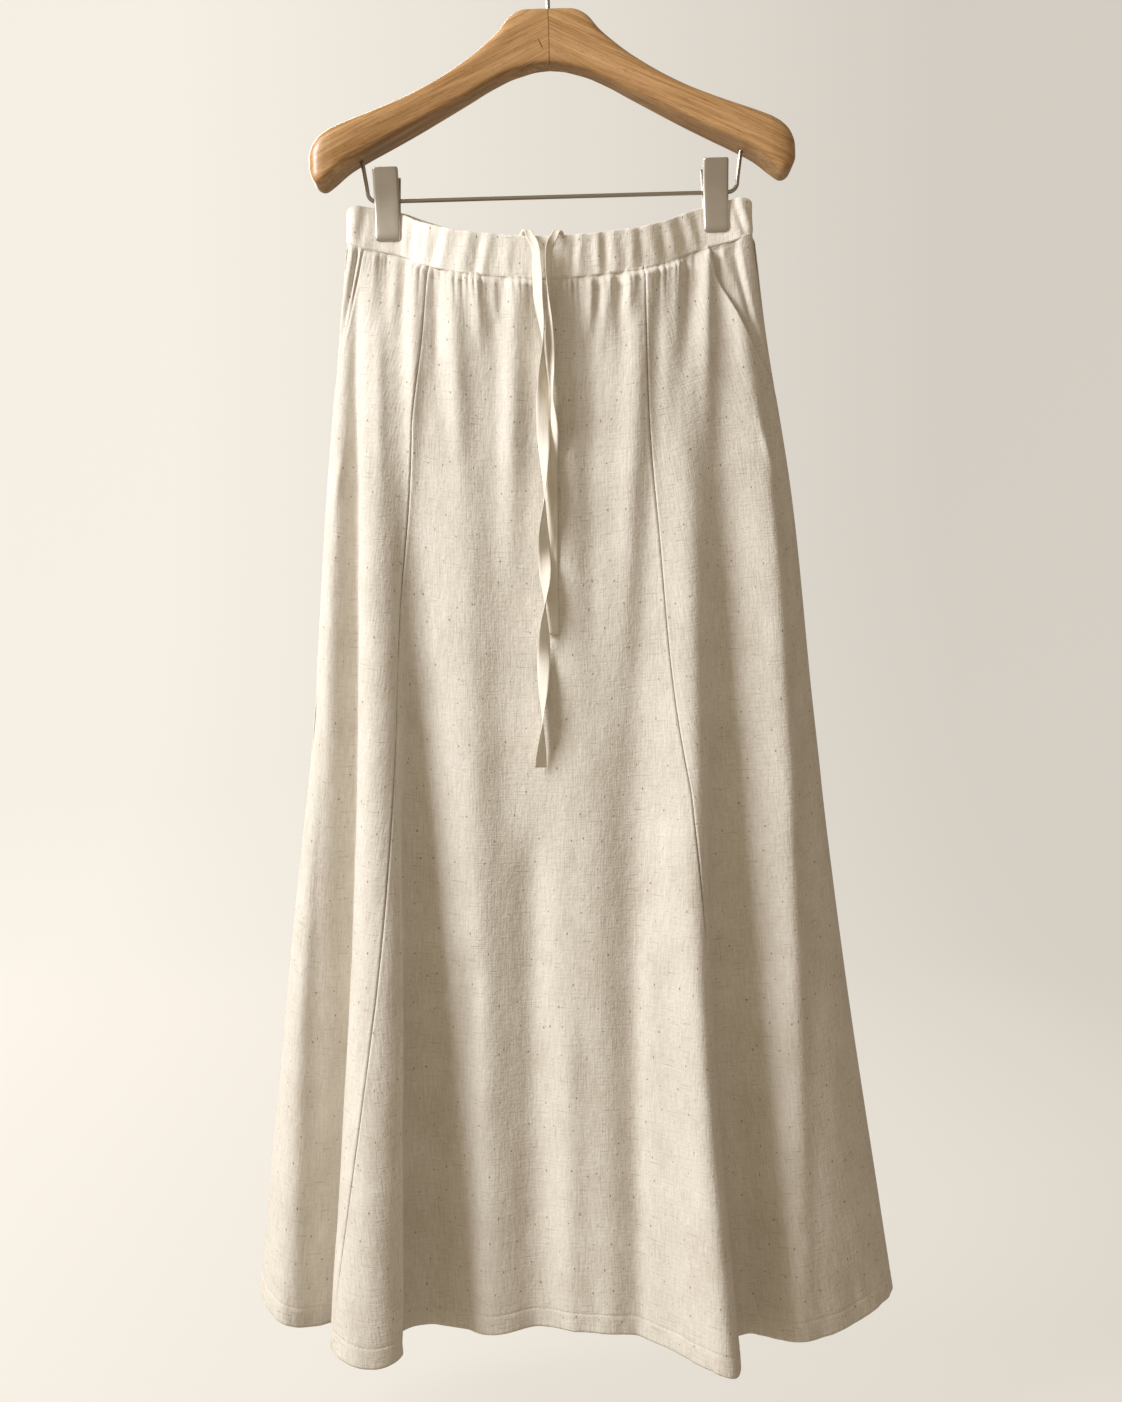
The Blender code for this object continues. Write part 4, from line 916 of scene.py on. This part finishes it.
def lacquered_oak():
    """Oak under satin lacquer: fine long grain, broad soft bands and short dark pores, all
    running down each arm, under an even half gloss, with a thin dark glue line at the mitre."""
    finish, tree, shader = start_material("sanded_lacquered_oak", Roughness=0.42, Coat_Weight=0.35,
                                          Coat_Roughness=0.22, Specular_IOR_Level=0.4)
    grain = add_node(tree, "Attribute", give="Vector", attribute_name="grain")
    pattern = {part: sized_pattern(tree, grain, *row, distortion=OAK_WAVER)
               for part, row in OAK_PATTERNS.items()}
    tone = weighted(tree, [(pattern[part], weight) for part, weight in OAK_TONE.items()])
    ground = add_node(tree, "MixRGB", {"Fac": tone, "Color1": colour(OAK_FACE),
                                       "Color2": colour(OAK_GRAIN)})
    spot = add_node(tree, "TexCoord", give="Object")
    from_knot = add_node(tree, "Mapping", {"Vector": spot, "Location": KNOT_SPOT, "Rotation": (0, KNOT_LEAN, 0),
                                           "Scale": KNOT_SIZE}, vector_type="TEXTURE")
    away = add_node(tree, "VectorMath", {0: from_knot}, give="Value", operation="LENGTH")
    knot = add_node(tree, "MapRange", {"Value": away, "From Min": 1.2, "From Max": 0.7})
    from_mitre = add_node(tree, "Attribute", give="Fac", attribute_name="from_mitre")
    glue = add_node(tree, "MapRange", {"Value": from_mitre, "From Min": 0.75, "From Max": 0.3})
    open_pores = add_node(tree, "Bump", {"Height": pattern["pores"], "Strength": 0.35, "Distance": 0.0001},
                          invert=True)
    marks = [(pattern["pores"], 0.7), (knot, 0.85), (glue, 0.75)]
    feed(tree, shader, {"Base Color": marked(tree, ground, marks, OAK_PORE), "Normal": open_pores})
    return finish


def wood_points(bend_angle):
    """Points round one upright section; past the shoulder a section's place is told by an angle,
    so that the arm's end closes in a full round."""
    table = np.array([tuple(section) for section in WOOD])
    end_length = WOOD[-1].out - SHOULDER
    if bend_angle <= 0:
        out = SHOULDER + bend_angle
        inner = table[table[:, 0] <= SHOULDER]
        _, top, under, depth = through(inner[:, 0], inner, [out])[0]
    else:
        out = SHOULDER + end_length * math.sin(bend_angle)
        end = table[table[:, 0] >= SHOULDER]
        _, top, under, depth = through(np.arcsin((end[:, 0] - SHOULDER) / end_length), end, [bend_angle])[0]
    angle = 2 * np.pi * np.arange(WOOD_CORNERS) / WOOD_CORNERS
    across, up = np.cos(angle), np.sin(angle)
    power = np.where(up > 0, WOOD_CROWN, WOOD_BELLY)
    forward = -WOOD_SWEEP * (out / WOOD[-1].out) ** 2
    y = forward + depth / 2 * np.sign(across) * np.abs(across) ** power
    z = (top + under) / 2 + (top - under) / 2 * np.sign(up) * np.abs(up) ** power
    return np.stack([np.full(WOOD_CORNERS, out), y, z], axis=1)


def hanger_arms():
    """Both arms as lofts along their sections, with rounded ends, that meet in the mitre."""
    rings = [wood_points(out - SHOULDER)
             for out in [MITRE_GAP, *np.linspace(2 * MITRE_GAP, SHOULDER, WOOD_ROWS)]]
    rings += [wood_points(bend_angle) for bend_angle in np.linspace(0, math.pi / 2, WOOD_END_ROWS)[1:]]
    middle = rings[-1].mean(axis=0)
    rings += [middle + (rings[-1] - middle) * share + (beyond, 0, 0) for share, beyond in WOOD_TIP]
    rings = np.array(rings)
    size = (len(rings), WOOD_CORNERS)
    shell = grid_faces(*size, ring=True) + [cap[::-1] for cap in end_faces(*size)]
    points, faces = [], []
    for side in (-1, 1):
        faces += [tuple(len(points) + corner for corner in face[::-side]) for face in shell]
        moved = rings * (side, 1, 1) + (WOOD_MIDDLE, 0, 0)
        points += moved.reshape(-1, 3).tolist()
    return add_piece("wood_arms", rolled(points), faces, lacquered_oak())


def lay_grain(arms):
    """Give each point of the wood its place along, across and through the grain of its board, in
    metres, and its distance from the mitre in millimetres."""
    spots = np.zeros(len(arms.data.vertices) * 3)
    arms.data.vertices.foreach_get("co", spots)
    x, y, z = spots.reshape(-1, 3).T / MM
    level_x = x * math.cos(HANGER_ROLL) + z * math.sin(HANGER_ROLL) - WOOD_MIDDLE
    level_z = z * math.cos(HANGER_ROLL) - x * math.sin(HANGER_ROLL)
    out = np.abs(level_x)
    along = out * math.cos(GRAIN_ANGLE) - level_z * math.sin(GRAIN_ANGLE)
    across = out * math.sin(GRAIN_ANGLE) + level_z * math.cos(GRAIN_ANGLE) + BOARD_APART * np.sign(level_x)
    grain = arms.data.attributes.new("grain", "FLOAT_VECTOR", "POINT")
    grain.data.foreach_set("vector", (np.stack([along, across, y], axis=1) * MM).ravel())
    from_mitre = arms.data.attributes.new("from_mitre", "FLOAT", "POINT")
    from_mitre.data.foreach_set("value", out)


def drill(target, foot, tip, diameter):
    """A blind round hole in a piece, from foot to tip, cut at once so that no cutter is left."""
    foot, tip = (Vector(rolled([spot])[0] * MM) for spot in (foot, tip))
    shape = bmesh.new()
    bmesh.ops.create_cone(shape, cap_ends=True, segments=24, radius1=diameter / 2 * MM,
                          radius2=diameter / 2 * MM, depth=(tip - foot).length)
    mesh = bpy.data.meshes.new("drill")
    shape.to_mesh(mesh)
    shape.free()
    cutter = bpy.data.objects.new("drill", mesh)
    bpy.context.scene.collection.objects.link(cutter)
    cutter.location = (foot + tip) / 2
    cutter.rotation_mode = "QUATERNION"
    cutter.rotation_quaternion = (tip - foot).to_track_quat("Z", "Y")
    cut = target.modifiers.new("hole", "BOOLEAN")
    cut.operation = "DIFFERENCE"
    cut.object = cutter
    bpy.context.view_layer.update()
    graph = bpy.context.evaluated_depsgraph_get()
    cut_mesh = bpy.data.meshes.new_from_object(target.evaluated_get(graph), preserve_all_data_layers=True,
                                               depsgraph=graph)
    target.modifiers.clear()
    target.data = cut_mesh
    bpy.data.objects.remove(cutter)


wood_arms = hanger_arms()
drill(wood_arms, (WOOD_MIDDLE, 0, WOOD[0].top - HOOK_DEPTH - HOLE_FIT), (WOOD_MIDDLE, 0, WOOD[0].top + 20),
      HOOK_WIRE + 2 * HOLE_FIT)
for foot_x, top_x in zip(BAR_FEET, BAR_ENDS):
    drill(wood_arms, (foot_x, 0, BAR_Z + BAR_BEND), (top_x, 0, BAR_TOP + 0.8), BAR_WIRE + 2 * HOLE_FIT)
lay_grain(wood_arms)
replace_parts(wood_arms, "hanger_wood")


# The hook and the clip bar: round steel wire, bent cold and nickel-plated, with a soft polish.
# The hook's stem is pushed into the wood at the mitre and the bar's ends into the arms.
HOOK_INNER = 19.0
WIRE_SIDES = 20
WIRE_ROUND = ((0.12, 0.88), (0.4, 0.55))  # past its last point: how far, and how thick
NICKEL = "#ABA498"
POLISH_PATCH = 50 / 21


def nickel_wire():
    """Nickel plate over drawn wire: bright, with a polish that varies a little along it."""
    finish, tree, shader = start_material("drawn_nickel_plate", Metallic=1.0, Base_Color=colour(NICKEL))
    polish = sized_pattern(tree, add_node(tree, "TexCoord", give="Object"), (POLISH_PATCH,) * 3, 2.0)
    rough = add_node(tree, "MapRange", {"Value": polish, "To Min": 0.28, "To Max": 0.4})
    feed(tree, shader, {"Roughness": rough})
    return finish


NICKEL_WIRE = nickel_wire()


def wire(name, route, diameter, finish, sides=WIRE_SIDES):
    """A round wire along a fine route, with slightly rounded ends."""
    route = np.asarray(route, dtype=float)
    ahead = unit(np.gradient(route, axis=0))
    side = np.cross(ahead[0], (0, 1, 0.001))
    turns = 2 * np.pi * np.arange(sides) / sides
    last = len(route) - 1
    ends = [(0, -along, share) for along, share in WIRE_ROUND[::-1]] + [(k, 0.0, 1.0) for k in range(last + 1)]
    ends += [(last, along, share) for along, share in WIRE_ROUND]
    rings = []
    for k, along, share in ends:
        side = side - ahead[k] * side.dot(ahead[k])
        side /= np.linalg.norm(side)
        other = np.cross(ahead[k], side)
        rings.append([route[k] + ahead[k] * along
                      + (side * math.cos(t) + other * math.sin(t)) * diameter / 2 * share for t in turns])
    points = np.array(rings).reshape(-1, 3)
    faces = [face[::-1] for face in grid_faces(len(rings), sides, ring=True)] + end_faces(len(rings), sides)
    return add_piece(name, rolled(points), faces, finish)


def arc(centre, radius, start, end, count):
    """Points of an arc seen from the front, angles in degrees."""
    turns = np.radians(np.linspace(start, end, count))
    return [(centre[0] + radius * math.cos(turn), 0, centre[1] + radius * math.sin(turn)) for turn in turns]


def even_route(stops, spacing):
    """A fine, evenly spaced route through a line of stops."""
    stops = np.asarray(stops, dtype=float)
    reach = travelled(stops)
    return through(reach, stops, np.linspace(0, reach[-1], int(reach[-1] / spacing)))


hook_stops = [(WOOD_MIDDLE, 0, WOOD[0].top - HOOK_DEPTH), (WOOD_MIDDLE, 0, -86), (WOOD_MIDDLE, 0, WOOD[0].top),
              (WOOD_MIDDLE, 0, -64), (WOOD_MIDDLE, 0, -56), (WOOD_MIDDLE + 0.4, 0, -50), (0.8, 0, -45.6),
              (4.2, 0, -42), *arc((0, -HOOK_INNER), HOOK_INNER + HOOK_WIRE / 2, -66, 205, 40)]
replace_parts(wire("steel_hook", even_route(hook_stops, 1.2), HOOK_WIRE, NICKEL_WIRE),
            "hanger_hook")
left_end, right_end = BAR_ENDS
left_foot, right_foot = BAR_FEET
bar_stops = [(left_end, 0, BAR_TOP), (left_end + 2.75, 0, -216), (left_foot, 0, BAR_Z + BAR_BEND),
             *arc((left_foot + BAR_BEND, BAR_Z + BAR_BEND), BAR_BEND, 192, 270, 9)]
bar_stops += [(x, 0, BAR_Z) for x in np.linspace(left_foot + 2 * BAR_BEND, right_foot - 2 * BAR_BEND, 24)]
bar_stops += [*arc((right_foot - BAR_BEND, BAR_Z + BAR_BEND), BAR_BEND, 270, 348, 9),
              (right_foot, 0, BAR_Z + BAR_BEND), (right_end - 2.75, 0, -216), (right_end, 0, BAR_TOP)]
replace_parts(wire("steel_bar", even_route(bar_stops, 1.4), BAR_WIRE, NICKEL_WIRE), "clip_bar")


# The two clips: each has a front and a back plate pressed from thin steel sheet with its sides
# folded in, satin nickel-plated, and a coiled spring round the bar that closes their jaws.
CLIP_PLACES = {"left": -153.5, "right": 146.0}
CLIP_WIDTH = 23.0
PLATE = 1.0
CORNER = 2.2
CHEEK_LEAN = 0.15  # the folded cheek leans in by this much
CHEEK_DEPTH = 0.7  # and is this much deeper than the table says
PLATE_ROWS = 46
CORNER_ROWS = 7
SATIN_NICKEL = "#C5BFB4"
PEARL_GRAIN = 10 / 9  # coarser than the real grain, so that it shows
PEARL_CLOUD = 50 / 3
PlateStop = namedtuple("PlateStop", "out up cheek")
PLATE_LINE = [PlateStop(*row) for row in (
    (18.2, 26.0, 1.2), (17.3, 24.0, 3.2), (13.4, 14.0, 4.6), (10.0, 4.5, 5.6), (8.4, -1.0, 5.2),
    (7.4, -6.0, 3.8), (6.6, -12.0, 2.4), (6.1, -18.0, 1.6), (5.7, -26.0, 1.2), (5.6, -34.2, 1.2),
    (5.2, -35.6, 1.0), (4.3, -37.3, 0.7))]
# The plate's slanted border: how far in from its side, and how deep
PLATE_BORDER = ((0.0, -1.4), (0.2, -0.75), (1.5, -0.08), (2.0, 0.0))
SPRING_WIRE = 1.2
SPRING_MIDDLE = 3.9  # from the bar's middle to the middle of the spring's wire
SPRING_TURNS = 13
SPRING_INSET = 3.4  # from the plate's side to the spring's end
SPRING_STEPS = 20  # to one turn
SPRING_SIDES = 8


def pressed_nickel():
    """Satin nickel on pressed sheet: a fine pearly grain that blurs its reflections."""
    finish, tree, shader = start_material("satin_nickel_plate", Metallic=1.0, Base_Color=colour(SATIN_NICKEL))
    spot = add_node(tree, "TexCoord", give="Object")
    pearl = sized_pattern(tree, spot, (PEARL_GRAIN,) * 3, 2.0)
    cloud = sized_pattern(tree, spot, (PEARL_CLOUD,) * 3, 1.0)
    tone = add_node(tree, "Math", {0: pearl, 1: cloud}, operation="ADD")
    rough = add_node(tree, "MapRange", {"Value": tone, "From Min": 0.6, "From Max": 1.4,
                                        "To Min": 0.42, "To Max": 0.54})
    grainy = add_node(tree, "Bump", {"Height": pearl, "Strength": 0.25, "Distance": 0.00006})
    feed(tree, shader, {"Roughness": rough, "Normal": grainy})
    return finish


PRESSED_NICKEL = pressed_nickel()


def clip_plate(name, node, centre, side):
    """One plate of a clip, with slanted borders and folded cheeks; side -1 is the front one."""
    table = np.array([tuple(stop) for stop in PLATE_LINE])
    reach = travelled(table[:, :2])
    near_end = np.linspace(0, CORNER, CORNER_ROWS)
    marks = np.unique(np.concatenate([np.linspace(0, reach[-1], PLATE_ROWS), near_end, reach[-1] - near_end]))
    line = through(reach, table, marks)
    ahead = unit(np.gradient(line[:, :2], marks, axis=0))
    outward = np.stack([-ahead[:, 1], ahead[:, 0]], axis=1)
    points = []
    for mark, (out, up, cheek), away in zip(marks, line, outward):
        near = min(mark, reach[-1] - mark, CORNER)
        half = CLIP_WIDTH / 2 - CORNER + math.sqrt(CORNER ** 2 - (CORNER - near) ** 2)
        section = [(half - CHEEK_LEAN, -cheek - CHEEK_DEPTH),
                   *((half - inward, depth) for inward, depth in PLATE_BORDER), (half / 2, 0.0)]
        whole = [(-x, depth) for x, depth in section] + [(0.0, 0.0)] + section[::-1]
        for x, depth in whole:
            spot = (out, up) + away * depth
            points.append((centre + x, side * spot[0], BAR_Z + spot[1]))
    faces = [face[::-side] for face in grid_faces(len(marks), len(whole))]
    plate = add_piece(name, rolled(points), faces, PRESSED_NICKEL)
    thicken(plate, PLATE)
    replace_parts(plate, node)


def clip_spring(name, node, centre):
    """A coil of round wire about the bar, between the plates."""
    turns = np.linspace(0, 2 * np.pi * SPRING_TURNS, SPRING_TURNS * SPRING_STEPS)
    half = CLIP_WIDTH / 2 - SPRING_INSET
    route = np.stack([centre + np.linspace(-half, half, len(turns)), SPRING_MIDDLE * np.cos(turns),
                      BAR_Z + SPRING_MIDDLE * np.sin(turns)], axis=1)
    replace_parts(wire(name, route, SPRING_WIRE, NICKEL_WIRE, SPRING_SIDES), node)


for label, centre in CLIP_PLACES.items():
    clip_plate(f"clip_plate_{label}_front", f"clip_{label}_front", centre, -1)
    clip_plate(f"clip_plate_{label}_back", f"clip_{label}_back", centre, 1)
    clip_spring(f"clip_coil_{label}", f"clip_{label}_spring", centre)


# The studio: a pale matt floor that curves up into a wall all round and glows with painted light that fades
# towards the right, a large soft lamp high on the left, a weaker one behind, and a surround that is brighter on
# the left than on the right.
FLOOR_Z = -1372.0
WALL_OUT = 4300.0
WALL_CURVE = 1500.0
WALL_TOP = 3600.0
STUDIO_PALE = "#F3EDE3"
STUDIO_GROUND = "#55514B"
SURROUND_TINT = "#F9E6CA"
SURROUND_BRIGHT_SIDE = (-0.86, -0.36, 0.36)


def studio_bowl():
    """The floor and wall as one turned surface that glows with painted light, a little darker towards the right
    as painted shade.
    """
    profile = [(r, FLOOR_Z) for r in np.linspace(0, WALL_OUT - WALL_CURVE, 8)]
    profile += [(WALL_OUT - WALL_CURVE + WALL_CURVE * math.sin(a), FLOOR_Z + WALL_CURVE * (1 - math.cos(a)))
                for a in np.linspace(0, math.pi / 2, 16)[1:]]
    profile += [(WALL_OUT, z) for z in np.linspace(FLOOR_Z + WALL_CURVE, WALL_TOP, 6)[1:]]
    turns = 2 * np.pi * np.arange(96) / 96
    points = [(r * math.cos(turn), r * math.sin(turn), z) for r, z in profile for turn in turns]
    mesh = bpy.data.meshes.new("studio_floor")
    mesh.from_pydata((np.array(points) * MM).tolist(), [], grid_faces(len(profile), len(turns), ring=True))
    mesh.flip_normals()
    mesh.shade_smooth()
    finish, tree, shader = start_material("studio_paint_with_painted_glow", Roughness=0.95, Specular_IOR_Level=0.1,
                                          Base_Color=colour(STUDIO_GROUND), Emission_Color=colour(STUDIO_PALE))
    # Painted light: the floor and wall glow by themselves, less towards the right, as though the lamp's light
    # fell off there.
    spot = add_node(tree, "TexCoord", give="Object")
    rightward = add_node(tree, "SeparateXYZ", {0: spot}, give="X")
    painted_light_falloff = add_node(tree, "MapRange", {"Value": rightward, "From Min": -1.3, "From Max": 1.3, "To Min": 0.97,
                                       "To Max": 0.66})
    feed(tree, shader, {"Emission Strength": painted_light_falloff})
    mesh.materials.append(finish)
    bowl = bpy.data.objects.new("studio_floor", mesh)
    bpy.context.scene.collection.objects.link(bowl)
    bowl.visible_shadow = False
    bowl.visible_diffuse = False
    bowl.visible_glossy = False


studio_bowl()


def soft_lamp(name, place, target, size, power, tint):
    """A large soft lamp at a place, turned to a target, both in metres."""
    settings = bpy.data.lights.new(name, "AREA")
    settings.shape = "RECTANGLE"
    settings.size, settings.size_y = size
    settings.energy = power
    settings.color = colour(tint)[:3]
    lamp = bpy.data.objects.new(name, settings)
    lamp.location = place
    lamp.rotation_euler = (Vector(target) - Vector(place)).to_track_quat("-Z", "Y").to_euler()
    bpy.context.scene.collection.objects.link(lamp)


soft_lamp("key_lamp", (-2.35, -1.2, 0.8), (0, 0, -0.75), (1.2, 1.3), 115, "#FBFCFF")
soft_lamp("back_lamp", (-1.2, 2.3, 0.9), (0, 0, -0.7), (1.6, 1.6), 52, "#FFFBF5")


def surround_light():
    """Even light from all round, strongest from the left front and weakest from the right."""
    surround = bpy.data.worlds.new("surround")
    surround.use_nodes = True
    tree = surround.node_tree
    toward = add_node(tree, "TexCoord", give="Generated")
    leftward = add_node(tree, "VectorMath", {0: toward, 1: SURROUND_BRIGHT_SIDE}, give="Value",
                        operation="DOT_PRODUCT")
    strength = add_node(tree, "MapRange", {"Value": leftward, "From Min": -0.9, "From Max": 0.9,
                                           "To Min": 0.27, "To Max": 0.58})
    feed(tree, tree.nodes["Background"], {"Color": colour(SURROUND_TINT), "Strength": strength})
    bpy.context.scene.world = surround


surround_light()
bpy.context.scene.view_settings.view_transform = "Standard"
